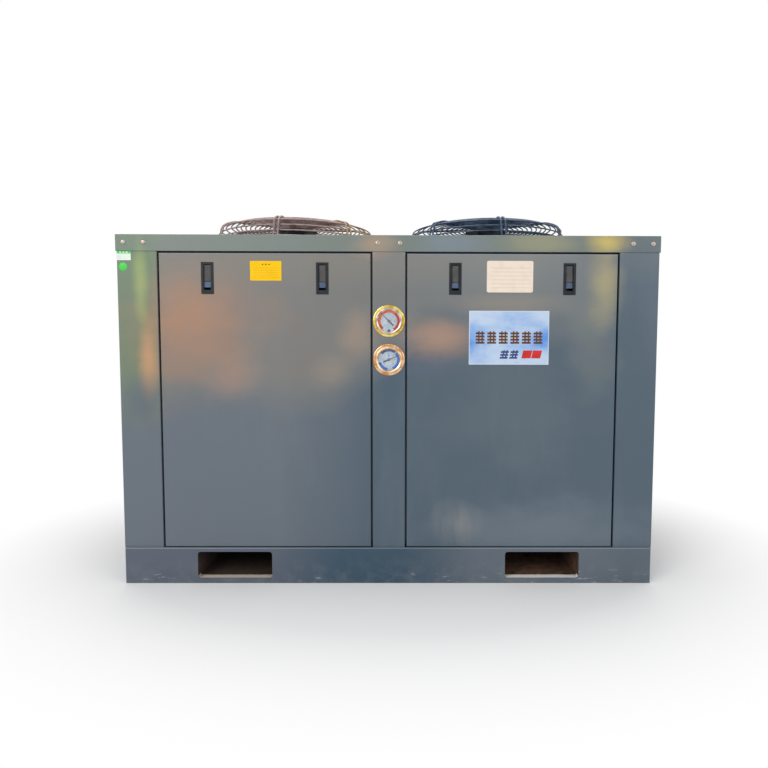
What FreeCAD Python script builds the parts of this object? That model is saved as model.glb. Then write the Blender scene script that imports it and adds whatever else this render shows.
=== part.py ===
import FreeCAD, Part
import math
import os
import Sketcher

# Box-type refrigeration condensing unit with two top fans and two lift-off doors.
# Millimetres. X runs to the right along the front, Y from the front to the back, Z up.
# The origin is on the ground, in the middle of the four anchor holes.

V = FreeCAD.Vector
UP = V(0, 0, 1)

# Driving dimensions. Each is written once, and everything else is worked out from them.
DIMENSIONS = {
    # Cabinet sheet metal
    "roof_width": 1500.0,
    "roof_depth": 760.0,
    "unit_height": 977.0,
    "roof_skirt": 45.0,
    "roof_lap": 2.5,
    "sheet": 1.5,
    "bend_radius": 2.5,
    "post_width": 110.0,
    "post_side": 130.0,
    "post_return": 12.0,
    "rear_post_width": 60.0,
    "rear_post_return": 40.0,
    "mullion_width": 91.0,
    "land_width": 18.0,
    "land_depth": 25.0,
    # Base frame
    "base_height": 102.5,
    "base_sheet": 2.5,
    "base_flange": 44.0,
    "base_inset": 3.0,
    "base_proud": 6.0,
    "fork_width": 210.0,
    "fork_height": 75.5,
    "fork_floor": 15.5,
    "fork_inset": 309.5,
    "fork_corner": 8.0,
    "anchor_inset": 104.5,
    "anchor_edge": 21.5,
    "anchor_hole": 7.0,
    "cross_width": 40.0,
    "cross_clear": 40.0,
    "pan_clearance": 0.5,
    "sill_height": 18.0,
    "sill_foot": 10.0,
    "header_drop": 68.0,
    "land_clearance": 0.5,
    # Doors
    "door_gap": 5.0,
    "door_rise": 1.8,
    "door_top_gap": 5.0,
    "door_sheet": 1.2,
    "door_depth": 22.0,
    "door_flange": 14.0,
    "seal_width": 9.0,
    "seal_clearance": 0.3,
    "pin_radius": 3.5,
    "pin_drop": 5.0,
    "pin_back": 11.0,
    "pin_spacing": 420.0,
    "slot_radius": 4.5,
    "slot_travel": 3.0,
    # Flush latches
    "latch_width": 34.0,
    "latch_height": 87.0,
    "latch_offset": 158.0,
    "latch_drop": 68.5,
    "latch_lip": 2.0,
    "latch_body_width": 28.0,
    "latch_body_height": 80.0,
    "latch_body_depth": 30.0,
    "latch_wall": 2.5,
    "lever_width": 19.0,
    "lever_length": 46.0,
    "lever_thick": 6.0,
    "lever_recess": 1.0,
    "lever_pivot_drop": 6.0,
    "trunnion_radius": 2.0,
    "trunnion_length": 1.5,
    "tongue_width": 12.0,
    "tongue_thick": 3.0,
    "tongue_gap": 3.0,
    "tongue_reach": 27.0,
    "button_side": 19.0,
    "button_height": 15.5,
    "button_thick": 8.0,
    "button_travel": 3.0,
    "spring_post": 4.0,
    "latch_play": 0.3,
    "finger_slot": 6.5,
    "running_play": 0.05,
    # Pressure gauges in the mullion
    "gauge_high_z": 742.0,
    "gauge_low_z": 635.0,
    "gauge_flange": 44.0,
    "gauge_flange_thick": 2.0,
    "gauge_body": 32.0,
    "gauge_depth": 28.0,
    "gauge_bezel": 37.5,
    "gauge_bezel_proud": 7.0,
    "gauge_wall": 1.6,
    "gauge_chamfer": 1.0,
    "bezel_overlap": 1.1,
    "glass_play": 0.3,
    "gauge_hole_play": 0.6,
    "gauge_socket": 7.0,
    "gauge_socket_length": 18.0,
    "dial_thick": 0.8,
    "dial_set_back": 1.0,
    "glass_seat": 1.0,
    "bezel_lip": 2.0,
    "glass_thick": 2.5,
    "arbor_radius": 1.2,
    "pointer_hub": 3.6,
    "pointer_thick": 1.0,
    "pointer_tip": 24.0,
    "pointer_tail": 17.0,
    "pointer_tail_half": 1.9,
    "pointer_waist_half": 1.2,
    "pointer_tip_half": 0.3,
    "pointer_set_back": 0.6,
    "pointer_high_angle": 135.0,
    "pointer_low_angle": 23.0,
    # Fans, rings and guards
    "fan_offset": 317.0,
    "roof_hole": 251.0,
    "ring_throat": 243.0,
    "ring_flange": 275.0,
    "ring_depth": 62.0,
    "ring_flare": 16.0,
    "blade_tip": 237.0,
    "blade_thick": 2.4,
    "blade_root_chord": 92.0,
    "blade_middle_chord": 150.0,
    "blade_tip_chord": 190.0,
    "blade_drop": 27.0,
    "blade_root_camber": 11.0,
    "blade_tip_camber": 9.0,
    "blade_root_pitch": 38.0,
    "blade_middle_pitch": 29.0,
    "blade_tip_pitch": 22.0,
    "blade_root_inset": 3.0,
    "blade_overshoot": 16.0,
    "rotor_radius": 69.0,
    "rotor_wall": 4.5,
    "rotor_top": 8.0,
    "rotor_bottom": 62.0,
    "rotor_boss": 16.0,
    "rotor_boss_top": 44.0,
    "shaft_radius": 7.5,
    "stator_radius": 61.0,
    "stator_neck": 26.0,
    "motor_plate": 68.0,
    "motor_plate_thick": 3.0,
    "motor_neck_height": 8.0,
    "motor_flare_height": 32.0,
    "motor_clearance": 5.0,
    "boss_clearance": 1.0,
    "guard_wire": 2.25,
    "guard_rib": 2.75,
    "rib_gap": 13.0,
    "guard_foot": 265.0,
    "guard_knee": 245.5,
    "guard_knee_rise": 72.0,
    "guard_shoulder": 212.0,
    "guard_height": 88.5,
    "guard_turn": 3.9,
    "guard_core": 62.0,
    "weld_gap": 0.05,
    # Condenser coil
    "coil_gap": 8.0,
    "coil_thick": 66.0,
    "coil_corner": 150.0,
    "coil_top_gap": 3.5,
    "coil_rib": 8.0,
    "coil_groove": 4.0,
    "tube_radius": 4.8,
    "tube_pitch": 50.0,
    "tube_start": 40.0,
    "end_plate": 1.5,
    "header_radius": 11.0,
    # Machine compartment
    "compressor_x": -330.0,
    "compressor_y": -70.0,
    "compressor_radius": 115.0,
    "compressor_height": 430.0,
    "compressor_foot": 250.0,
    "foot_thick": 6.0,
    "mount_radius": 20.0,
    "mount_height": 22.0,
    "mount_pitch": 200.0,
    "receiver_radius": 82.0,
    "receiver_length": 520.0,
    "receiver_x": 300.0,
    "receiver_y": 60.0,
    "receiver_lift": 16.0,
    "saddle_pitch": 300.0,
    "saddle_width": 40.0,
    "accumulator_x": -80.0,
    "accumulator_y": 90.0,
    "accumulator_radius": 65.0,
    "accumulator_height": 340.0,
    "box_width": 380.0,
    "box_height": 330.0,
    "box_depth": 150.0,
    "box_floor": 440.0,
    "grommet_wall": 3.0,
    "suction_port": 20.0,
    "liquid_port": 12.0,
    "cable_port": 11.0,
    "port_set_back": 47.5,
    "suction_port_z": 190.0,
    "port_pitch": 80.0,
    "suction_tube": 14.3,
    "discharge_tube": 9.5,
    "liquid_tube": 8.0,
    "valve_length": 60.0,
    "valve_gap": 22.0,
    "valve_wall": 4.0,
    "valve_stem": 12.0,
    "line_rise": 56.0,
    "line_lift": 90.0,
    "line_aisle": 32.0,
    "tube_bend": 24.0,
    "capillary_radius": 2.0,
    "capillary_bend": 7.0,
    "capillary_back": 24.0,
    "drier_x": 250.0,
    "drier_y": -120.0,
    "drier_radius": 30.0,
    "drier_length": 150.0,
    "glass_pipe": 40.0,
    "glass_block": 28.0,
    "terminal_width": 96.0,
    "terminal_height": 110.0,
    "terminal_depth": 40.0,
    "strap_thick": 3.0,
    "strap_height": 14.0,
    "grommet_lip": 2.4,
    "grommet_play": 0.2,
    # Roof screws
    "screw_head": 6.5,
    "screw_dome": 2.6,
    "screw_below_roof": 22.0,
    "screw_mullion_edge": 14.5,
    "screw_inner_edge": 35.5,
    "screw_outer_edge": 19.5,
}


class Size:
    """A length that knows its number and the sheet expression that gives it."""

    def __init__(self, value, text):
        self.value = float(value)
        self.text = text

    def __add__(self, other):
        other = size(other)
        return Size(self.value + other.value, f"({self.text} + {other.text})")

    def __sub__(self, other):
        other = size(other)
        return Size(self.value - other.value, f"({self.text} - {other.text})")

    def __rsub__(self, other):
        return size(other) - self

    def __mul__(self, other):
        other = size(other)
        return Size(self.value * other.value, f"({self.text} * {other.text})")

    def __truediv__(self, other):
        other = size(other)
        return Size(self.value / other.value, f"({self.text} / {other.text})")

    def __neg__(self):
        return Size(-self.value, f"(0 - {self.text})")

    def root(self):
        return Size(math.sqrt(self.value), f"sqrt({self.text})")

    __radd__ = __add__
    __rmul__ = __mul__


def size(value):
    """Any number as a Size."""
    if isinstance(value, Size):
        return value
    return Size(value, f"{float(value):.9f}")


class Driving:
    """Writes the driving dimensions into the sheet and hands them out as Sizes."""

    def __init__(self, document, dimensions):
        sheet = document.addObject("Spreadsheet::Sheet", "sizes")
        for row, (name, value) in enumerate(dimensions.items(), 1):
            sheet.set(f"A{row}", name)
            sheet.set(f"B{row}", str(value))
            sheet.setAlias(f"B{row}", name)
            setattr(self, name, Size(value, f"sizes.{name}"))


doc = FreeCAD.newDocument("condensing_unit")
d = Driving(doc, DIMENSIONS)
doc.recompute()

# Places that several pieces share
half_width = d.roof_width / 2 - d.roof_lap
half_depth = d.roof_depth / 2 - d.roof_lap
port_y = half_depth - d.port_set_back
roof_under = d.unit_height - d.sheet
post_inner = half_width - d.post_width
mullion_half = d.mullion_width / 2
land_front = half_depth - d.land_depth
base_half = half_width - d.base_inset
fork_offset = base_half - d.fork_inset
base_front = half_depth + d.base_proud
pan_half_x = base_half - d.base_flange - d.pan_clearance
pan_half_y = base_front - d.base_flange - d.pan_clearance
pan_top = d.base_height - d.base_sheet + d.sheet
door_inner = mullion_half + d.door_gap
door_outer = post_inner - d.door_gap
door_middle = (door_inner + door_outer) / 2
door_low = d.base_height + d.door_rise
door_high = d.unit_height - d.roof_skirt - d.door_top_gap
door_back = half_depth - d.door_depth
header_low = d.unit_height - d.header_drop
latch_middle = door_high - d.latch_drop
lever_half = d.lever_thick / 2
corner_swing = (lever_half * lever_half + d.lever_pivot_drop * d.lever_pivot_drop).root()
lever_swing = corner_swing - d.lever_pivot_drop + d.latch_play
lever_top = latch_middle + d.latch_body_height / 2 - d.latch_wall - lever_swing
lever_face = half_depth - d.lever_recess
lever_pivot_z = lever_top - d.lever_pivot_drop
lever_pivot_y = lever_face - lever_half
button_top = lever_top - d.lever_length - d.latch_play * 2
coil_face_x = half_width - d.sheet - d.coil_gap
coil_face_y = half_depth - d.sheet - d.coil_gap
coil_front = half_depth - d.post_side
coil_top = roof_under - d.coil_top_gap
ring_top = d.unit_height + d.sheet
plate_top = d.unit_height + d.guard_height - d.guard_wire * 2 - d.guard_rib * 2
stator_low = d.unit_height - d.rotor_boss_top

SIDES = {"left": -1, "right": 1}
FULL_TURN = 360
FIRST_RIB = -90
BLADES = 5
BACK_GROOVES = 15
SIDE_GROOVES = 6
RIB_PAIRS = 7
FLAT_RINGS = 11
SLOPE_RINGS = 2
SIDE_RINGS = 4
PARTS = []


def keep(item, label):
    """Names a finished sub-part, which is written out under that name."""
    item.Label = label
    PARTS.append(item)
    return item


def bind(item, path, value):
    item.setExpression(path, size(value).text)


def new_body(name):
    return doc.addObject("PartDesign::Body", name)


def origin_feature(body, role):
    for feature in body.Origin.OriginFeatures:
        if feature.Role == role:
            return feature
    raise ValueError(role)


def new_sketch(body, role, away=0):
    """A sketch on one of the body's own planes, moved along that plane's normal."""
    sketch = body.newObject("Sketcher::SketchObject", "sketch")
    sketch.AttachmentSupport = (origin_feature(body, role), "")
    sketch.MapMode = "FlatFace"
    bind(sketch, "AttachmentOffset.Base.z", away)
    return sketch


def hold(sketch, kind, geometry, value):
    """A dimension of the sketch, bound to the sheet."""
    value = size(value)
    index = sketch.addConstraint(Sketcher.Constraint(kind, *geometry, value.value))
    sketch.setExpression(f"Constraints[{index}]", value.text)


def outline(sketch, corners):
    """Closes straight lines through the corners, each held by its x and its y."""
    first = sketch.GeometryCount
    count = len(corners)
    points = [V(size(x).value, size(y).value, 0) for x, y in corners]
    for i in range(count):
        sketch.addGeometry(Part.LineSegment(points[i], points[(i + 1) % count]), False)
    for i in range(count):
        sketch.addConstraint(
            Sketcher.Constraint("Coincident", first + i, 2, first + (i + 1) % count, 1)
        )
    for i, (x, y) in enumerate(corners):
        hold(sketch, "DistanceX", (first + i, 1), x)
        hold(sketch, "DistanceY", (first + i, 1), y)


def circle(sketch, x, y, radius):
    index = sketch.GeometryCount
    centre = V(size(x).value, size(y).value, 0)
    sketch.addGeometry(Part.Circle(centre, UP, size(radius).value), False)
    hold(sketch, "DistanceX", (index, 3), x)
    hold(sketch, "DistanceY", (index, 3), y)
    hold(sketch, "Radius", (index,), radius)


def rectangle(x0, y0, x1, y1):
    return [(x0, y0), (x1, y0), (x1, y1), (x0, y1)]


def polygon(x, y, radius, sides):
    """A regular polygon's corners about x, y."""
    corners = []
    for i in range(sides):
        turn = 2 * math.pi * (i + 0.5) / sides
        corners.append((x + radius * math.cos(turn), y + radius * math.sin(turn)))
    return corners


def mirrored(corners, side):
    return [(side * x, y) for x, y in corners]


def sign(a, b):
    gap = size(b).value - size(a).value
    return (gap > 1e-6) - (gap < -1e-6)


def strip(path, thickness):
    """The closed outline of a folded strip whose metal lies to the left of its path."""
    normals = []
    for (ax, ay), (bx, by) in zip(path, path[1:]):
        normals.append((-sign(ay, by), sign(ax, bx)))
    inner = []
    for i, (x, y) in enumerate(path):
        before = normals[max(i - 1, 0)]
        after = normals[min(i, len(normals) - 1)]
        step_x = before[0] if before == after else before[0] + after[0]
        step_y = before[1] if before == after else before[1] + after[1]
        inner.append((x + thickness * step_x, y + thickness * step_y))
    return list(path) + inner[::-1]


def pad(body, sketch, length):
    feature = body.newObject("PartDesign::Pad", "pad")
    feature.Profile = sketch
    bind(feature, "Length", length)
    return feature


def pocket(body, sketch, length, reverse=False):
    """Cuts against the sketch's normal, or along it when reversed."""
    feature = body.newObject("PartDesign::Pocket", "pocket")
    feature.Profile = sketch
    feature.Reversed = reverse
    bind(feature, "Length", length)
    return feature


def turned(body, sketch, kind="PartDesign::Revolution"):
    """Turns or grooves a sketch about the upright axis of its plane."""
    feature = body.newObject(kind, "turned")
    feature.Profile = sketch
    feature.ReferenceAxis = (sketch, ["V_Axis"])
    feature.Angle = FULL_TURN
    return feature


def fillet(body, feature, radius, wanted):
    """Rounds the edges of a feature that the test wants."""
    doc.recompute()
    names = [f"Edge{i}" for i, e in enumerate(feature.Shape.Edges, 1) if wanted(e)]
    if not names:
        raise ValueError(f"no edge to round on {body.Name}")
    rounding = body.newObject("PartDesign::Fillet", "fillet")
    rounding.Base = (feature, names)
    bind(rounding, "Radius", radius)
    return rounding


def along(edge, axis):
    """True when a straight edge runs along the given axis."""
    if edge.Curve.TypeId != "Part::GeomLine":
        return False
    return abs(abs(edge.Curve.Direction.dot(axis)) - 1) < 1e-6


def near(edge, x=None, y=None, z=None):
    """True when an edge's middle lies at the coordinates that are given."""
    middle = edge.CenterOfMass
    for value, place in ((x, middle.x), (y, middle.y), (z, middle.z)):
        if value is not None and abs(size(value).value - place) > 1e-3:
            return False
    return True


def prism(name, role, corners, start, length):
    """A straight section standing on one plane, from start to start plus length."""
    body = new_body(name)
    sketch = new_sketch(body, role, start)
    outline(sketch, corners)
    pad(body, sketch, length)
    return body


def spun(name, corners, role="XZ_Plane"):
    """A body turned from a half section."""
    body = new_body(name)
    sketch = new_sketch(body, role)
    outline(sketch, corners)
    turned(body, sketch)
    return body


def place(item, x=None, y=None, z=None, turn=None):
    if turn is not None:
        item.Placement = FreeCAD.Placement(V(0, 0, 0), turn)
    for axis, value in (("x", x), ("y", y), ("z", z)):
        if value is not None:
            bind(item, f"Placement.Base.{axis}", value)
    return item


def group(name, items):
    """Separate solids that share one sub-part."""
    compound = doc.addObject("Part::Compound", name)
    compound.Links = items
    return keep(compound, name)


def cylinder(name, radius, length, x, y, z, turn=None):
    item = doc.addObject("Part::Cylinder", name)
    bind(item, "Radius", radius)
    bind(item, "Height", length)
    return place(item, x, y, z, turn)


def box(name, x0, x1, y0, y1, z0, z1):
    item = doc.addObject("Part::Box", name)
    bind(item, "Length", x1 - x0)
    bind(item, "Width", y1 - y0)
    bind(item, "Height", z1 - z0)
    return place(item, x0, y0, z0)


def joined(name, items):
    """Welded pieces that make one solid."""
    fuse = doc.addObject("Part::MultiFuse", name)
    fuse.Shapes = items
    return fuse


TO_FRONT = FreeCAD.Rotation(V(1, 0, 0), 90)
TO_BACK = FreeCAD.Rotation(V(1, 0, 0), -90)
TO_RIGHT = FreeCAD.Rotation(V(0, 1, 0), 90)
HALF_TURN = FreeCAD.Rotation(UP, 180)


# Base frame

def base_rail(name, turn=None):
    """A closed-end channel with two fork pockets and two anchor holes, shown as the front one."""
    body = new_body(name)
    front = new_sketch(body, "XZ_Plane", base_front - d.base_flange)
    outline(front, rectangle(-base_half, 0, base_half, d.base_height))
    block = pad(body, front, d.base_flange)
    fillet(body, block, d.bend_radius, lambda e: near(e, y=-base_front))
    inside = new_sketch(body, "XZ_Plane", base_front - d.base_flange)
    wall = d.base_sheet
    outline(inside, rectangle(wall - base_half, wall, base_half - wall, d.base_height - wall))
    pocket(body, inside, d.base_flange - wall, reverse=True)
    forks = new_sketch(body, "XZ_Plane", base_front)
    for side in SIDES.values():
        middle = side * fork_offset
        half = d.fork_width / 2
        low = d.fork_floor
        outline(forks, rectangle(middle - half, low, middle + half, low + d.fork_height))
    cut = pocket(body, forks, d.base_flange)
    doc.recompute()
    corner_z = [d.fork_floor.value, (d.fork_floor + d.fork_height).value]
    fillet(
        body, cut, d.fork_corner,
        lambda e: along(e, V(0, 1, 0)) and any(abs(e.CenterOfMass.z - z) < 1e-3 for z in corner_z)
        and e.Length < d.base_sheet.value + 1e-3,
    )
    holes = new_sketch(body, "XY_Plane", d.base_sheet)
    for side in SIDES.values():
        circle(holes, side * (base_half - d.anchor_inset), d.anchor_edge - base_front, d.anchor_hole)
    pocket(body, holes, d.base_sheet)
    place(body, turn=turn)
    return body


def base_front_rail():
    """The front rail also has the slots that the doors' locating pins stand in."""
    body = base_rail("base_front_rail")
    slots = new_sketch(body, "XY_Plane", d.base_height)
    near_y = d.pin_back - d.slot_radius - half_depth
    far_y = d.pin_back + d.slot_travel + d.slot_radius - half_depth
    for side in SIDES.values():
        for end in SIDES.values():
            middle = side * door_middle + end * d.pin_spacing / 2
            outline(slots, rectangle(middle - d.slot_radius, near_y, middle + d.slot_radius, far_y))
    pocket(body, slots, d.base_sheet)
    keep(body, "base_front_rail")


def base_side_rails():
    low, high, wall = size(0), d.base_height, d.base_sheet
    rails = []
    for name, side in SIDES.items():
        outer = base_half
        inner = base_half - d.base_flange
        path = [(inner, high), (outer, high), (outer, low), (inner, low)]
        section = strip(path[::-1], wall)
        length = (base_front - d.base_flange) * 2
        rail = new_body(f"side_rail_{name}")
        sketch = new_sketch(rail, "XZ_Plane", d.base_flange - base_front)
        outline(sketch, mirrored(section, side))
        pad(rail, sketch, length)
        rails.append(rail)
    group("base_side_rails", rails)


def base_cross_members():
    """Channels that carry the floor pan, and between them the two tunnels for the forks."""
    members = []
    start, length = d.base_sheet - base_front, (base_front - d.base_sheet) * 2
    low = d.base_sheet
    high = d.base_height - d.base_sheet
    reach = d.fork_width / 2 + d.cross_clear + d.cross_width / 2
    inner = fork_offset - reach
    outer = fork_offset + reach
    for i, middle in enumerate((-outer, -inner, size(0), inner, outer)):
        left = middle - d.cross_width / 2
        right = middle + d.cross_width / 2
        section = strip([(right, low), (left, low), (left, high), (right, high)][::-1], d.base_sheet)
        members.append(prism(f"cross_{i}", "XZ_Plane", section, start, length))
    for name, side in SIDES.items():
        tunnel = new_body(f"fork_tunnel_{name}")
        sketch = new_sketch(tunnel, "XZ_Plane", -start - length)
        for wall in (size(0), d.base_sheet):
            left = side * fork_offset - d.fork_width / 2 - wall
            outline(sketch, rectangle(
                left, d.fork_floor - wall, left + d.fork_width + wall * 2,
                d.fork_floor + d.fork_height + wall,
            ))
        members.append(pad(tunnel, sketch, length) and tunnel)
    group("base_cross_members", members)


def floor_pan():
    body = prism(
        "floor_pan", "XY_Plane",
        rectangle(-pan_half_x, -pan_half_y, pan_half_x, pan_half_y),
        d.base_height - d.base_sheet, d.sheet,
    )
    keep(body, "floor_pan")


def door_frame_angles():
    """Sills and headers between the mullion and the posts that the doors' seals close on."""
    angles = []
    front = -land_front
    toe = front + d.sill_foot
    skin = front + d.sheet
    low, high = d.base_height, d.base_height + d.sill_height
    sill = [
        (front, low), (toe, low), (toe, low + d.sheet), (skin, low + d.sheet), (skin, high),
        (front, high),
    ]
    low, high = header_low, roof_under
    header = [
        (front, low), (skin, low), (skin, high - d.sheet), (toe, high - d.sheet), (toe, high),
        (front, high),
    ]
    start = mullion_half + d.land_width + d.land_clearance
    length = post_inner - d.land_width - d.land_clearance - start
    for side in SIDES.values():
        first = start if side > 0 else -start - length
        angles.append(prism("sill", "YZ_Plane", sill, first, length))
        angles.append(prism("header", "YZ_Plane", header, first, length))
    group("door_frame_angles", angles)


# Uprights

def front_post(name, side):
    """A folded corner post: door land, front face, side face and a return to the coil."""
    path = [
        (post_inner - d.land_width, -land_front),
        (post_inner, -land_front),
        (post_inner, -half_depth),
        (half_width, -half_depth),
        (half_width, -coil_front),
        (half_width - d.post_return, -coil_front),
    ]
    body = new_body(name)
    sketch = new_sketch(body, "XY_Plane", d.base_height)
    outline(sketch, mirrored(strip(path, d.sheet), side))
    post = pad(body, sketch, roof_under - d.base_height)
    fillet(
        body, post, d.bend_radius,
        lambda e: along(e, UP) and (
            near(e, x=side * half_width, y=-half_depth)
            or near(e, x=side * post_inner, y=-half_depth)
        ),
    )
    if side > 0:
        ports = new_sketch(body, "YZ_Plane", half_width - d.sheet * 2)
        for hole, z in port_holes():
            circle(ports, -port_y, z, hole)
        pocket(body, ports, d.sheet * 3, reverse=True)
    keep(body, name)


def port_holes():
    """Hole radius and height of the suction, liquid and cable ports in the right post."""
    wall = d.grommet_wall
    return [
        (d.suction_port + wall, d.suction_port_z),
        (d.liquid_port + wall, d.suction_port_z + d.port_pitch),
        (d.cable_port + wall, d.suction_port_z + d.port_pitch * 2),
    ]


def rear_post(name, side):
    path = [
        (half_width - d.rear_post_width, half_depth - d.rear_post_return),
        (half_width - d.rear_post_width, half_depth),
        (half_width, half_depth),
        (half_width, half_depth - d.rear_post_width),
        (half_width - d.rear_post_return, half_depth - d.rear_post_width),
    ]
    body = new_body(name)
    sketch = new_sketch(body, "XY_Plane", d.base_height)
    outline(sketch, mirrored(strip(path[::-1], d.sheet), side))
    post = pad(body, sketch, roof_under - d.base_height)
    fillet(
        body, post, d.bend_radius,
        lambda e: along(e, UP) and near(e, x=side * half_width, y=half_depth),
    )
    keep(body, name)


def centre_mullion():
    """The upright between the doors, with a land each side and a hole for each gauge."""
    path = [
        (-mullion_half - d.land_width, -land_front),
        (-mullion_half, -land_front),
        (-mullion_half, -half_depth),
        (mullion_half, -half_depth),
        (mullion_half, -land_front),
        (mullion_half + d.land_width, -land_front),
    ]
    body = new_body("centre_mullion")
    sketch = new_sketch(body, "XY_Plane", d.base_height)
    outline(sketch, strip(path, d.sheet))
    post = pad(body, sketch, roof_under - d.base_height)
    fillet(
        body, post, d.bend_radius,
        lambda e: along(e, UP) and (
            near(e, x=mullion_half, y=-half_depth) or near(e, x=-mullion_half, y=-half_depth)
        ),
    )
    holes = new_sketch(body, "XZ_Plane", half_depth)
    for z in (d.gauge_high_z, d.gauge_low_z):
        circle(holes, 0, z, d.gauge_body + d.gauge_hole_play)
    pocket(body, holes, d.sheet * 2)
    keep(body, "centre_mullion")


# Roof, fan rings and guards

def roof_panel():
    """A pan turned upside down, with a round hole over each fan."""
    half_x = d.roof_width / 2
    half_y = d.roof_depth / 2
    body = new_body("roof_panel")
    top = new_sketch(body, "XY_Plane", d.unit_height - d.roof_skirt)
    outline(top, rectangle(-half_x, -half_y, half_x, half_y))
    block = pad(body, top, d.roof_skirt)
    fillet(
        body, block, d.bend_radius,
        lambda e: near(e, z=d.unit_height) or along(e, UP),
    )
    under = new_sketch(body, "XY_Plane", d.unit_height - d.roof_skirt)
    wall = d.sheet
    outline(under, rectangle(wall - half_x, wall - half_y, half_x - wall, half_y - wall))
    pocket(body, under, d.roof_skirt - wall, reverse=True)
    holes = new_sketch(body, "XY_Plane", d.unit_height)
    for side in SIDES.values():
        circle(holes, side * d.fan_offset, 0, d.roof_hole)
    pocket(body, holes, d.roof_skirt)
    keep(body, "roof_panel")


def roof_screws():
    """Dome-headed screws through the skirt into the posts and the mullion."""
    screws = []
    for side in SIDES.values():
        for i, offset in enumerate((
            mullion_half - d.screw_mullion_edge, post_inner + d.screw_inner_edge,
            half_width - d.screw_outer_edge,
        )):
            head = spun(f"screw_{i}", [
                (0, 0), (d.screw_head, 0), (d.screw_head, d.screw_dome / 3),
                (d.screw_head * 0.6, d.screw_dome), (0, d.screw_dome),
            ])
            place(head, side * offset, -d.roof_depth / 2, d.unit_height - d.screw_below_roof, TO_FRONT)
            screws.append(head)
    group("roof_screws", screws)


def fan_ring(name, side):
    """The drawn inlet ring: flange on the roof, straight throat and a flared lower lip."""
    top = ring_top
    low = top - d.ring_depth
    wall = d.sheet
    body = spun(name, [
        (d.ring_throat, top), (d.ring_throat, low + d.ring_flare),
        (d.ring_throat + d.ring_flare * 0.3, low + d.ring_flare * 0.35),
        (d.ring_throat + d.ring_flare, low),
        (d.ring_throat + d.ring_flare + wall, low + wall),
        (d.ring_throat + d.ring_flare * 0.3 + wall, low + d.ring_flare * 0.35 + wall),
        (d.ring_throat + wall, low + d.ring_flare + wall),
        (d.ring_throat + wall, top - wall), (d.ring_flange, top - wall), (d.ring_flange, top),
    ])
    place(body, x=side * d.fan_offset)
    keep(body, name)


def guard_profile():
    """Radius and height of the rings' corners: core, shoulder, knee and foot."""
    flat = d.unit_height + d.guard_height - d.guard_rib * 2 - d.guard_wire
    return [
        (d.guard_core, flat),
        (d.guard_shoulder, flat),
        (d.guard_knee, d.unit_height + d.guard_knee_rise - d.guard_rib),
        (d.guard_foot, d.unit_height + d.sheet + d.guard_wire),
    ]


def guard_rings():
    """Radius and height of each wire ring, from the core to the foot."""
    profile = guard_profile()
    rings = [profile[0]]
    for start, end, count in zip(profile, profile[1:], (FLAT_RINGS - 1, SLOPE_RINGS, SIDE_RINGS)):
        for i in range(1, count + 1):
            share = i / count
            rings.append([a * (1 - share) + b * share for a, b in zip(start, end)])
    return rings


def beside(profile, away):
    """The corners of a line that runs beside a profile, at an even distance above it."""
    normals = []
    for (ax, ay), (bx, by) in zip(profile, profile[1:]):
        run, rise = bx - ax, by - ay
        length = (run * run + rise * rise).root()
        normals.append((-rise / length, run / length))
    corners = []
    for i, (x, y) in enumerate(profile):
        before = normals[max(i - 1, 0)]
        after = normals[min(i, len(normals) - 1)]
        reach = away / (1 + before[0] * after[0] + before[1] * after[1])
        corners.append((x + reach * (before[0] + after[0]), y + reach * (before[1] + after[1])))
    return corners


def guard_rib(turn, shift):
    """One bent wire from the foot ring up over the shoulder to the motor plate."""
    body = new_body("rib")
    above = beside(guard_profile(), d.guard_wire + d.guard_rib + d.weld_gap)
    foot = d.unit_height + d.sheet + d.weld_gap
    path = new_sketch(body, "XZ_Plane", shift)
    line = [(above[3][0], foot), above[2], above[1], (d.guard_core - d.guard_wire, above[0][1])]
    points = [V(x.value, y.value, 0) for x, y in line]
    for i in range(len(points) - 1):
        path.addGeometry(Part.LineSegment(points[i], points[i + 1]), False)
    for i in range(len(points) - 2):
        path.addConstraint(Sketcher.Constraint("Coincident", i, 2, i + 1, 1))
    for i, (x, y) in enumerate(line):
        where = (min(i, len(line) - 2), 1 if i < len(line) - 1 else 2)
        hold(path, "DistanceX", where, x)
        hold(path, "DistanceY", where, y)
    section = new_sketch(body, "XY_Plane", foot)
    outline(section, polygon(above[3][0], -shift, d.guard_rib, 6))
    pipe = body.newObject("PartDesign::AdditivePipe", "pipe")
    pipe.Profile = section
    pipe.Spine = (path, [f"Edge{i + 1}" for i in range(len(line) - 1)])
    pipe.Transition = "Right corner"
    place(body, x=-d.fan_offset, turn=FreeCAD.Rotation(UP, turn))
    return body


def fan_guards():
    """Wire basket guards: seven pairs of bent wires welded over rings of lighter wire."""
    wires = []
    for radius, height in guard_rings():
        ring = spun("ring", polygon(radius, height, d.guard_wire, 6))
        wires.append(place(ring, x=-d.fan_offset))
    for pair in range(RIB_PAIRS):
        for side in SIDES.values():
            turn = FIRST_RIB - d.guard_turn.value + FULL_TURN * pair / RIB_PAIRS
            wires.append(guard_rib(turn, side * d.rib_gap / 2))
    left = group("fan_guard_left", wires)
    right = doc.addObject("Part::Mirroring", "fan_guard_right")
    right.Source = left
    right.Normal = V(1, 0, 0)
    keep(right, "fan_guard_right")


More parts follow.
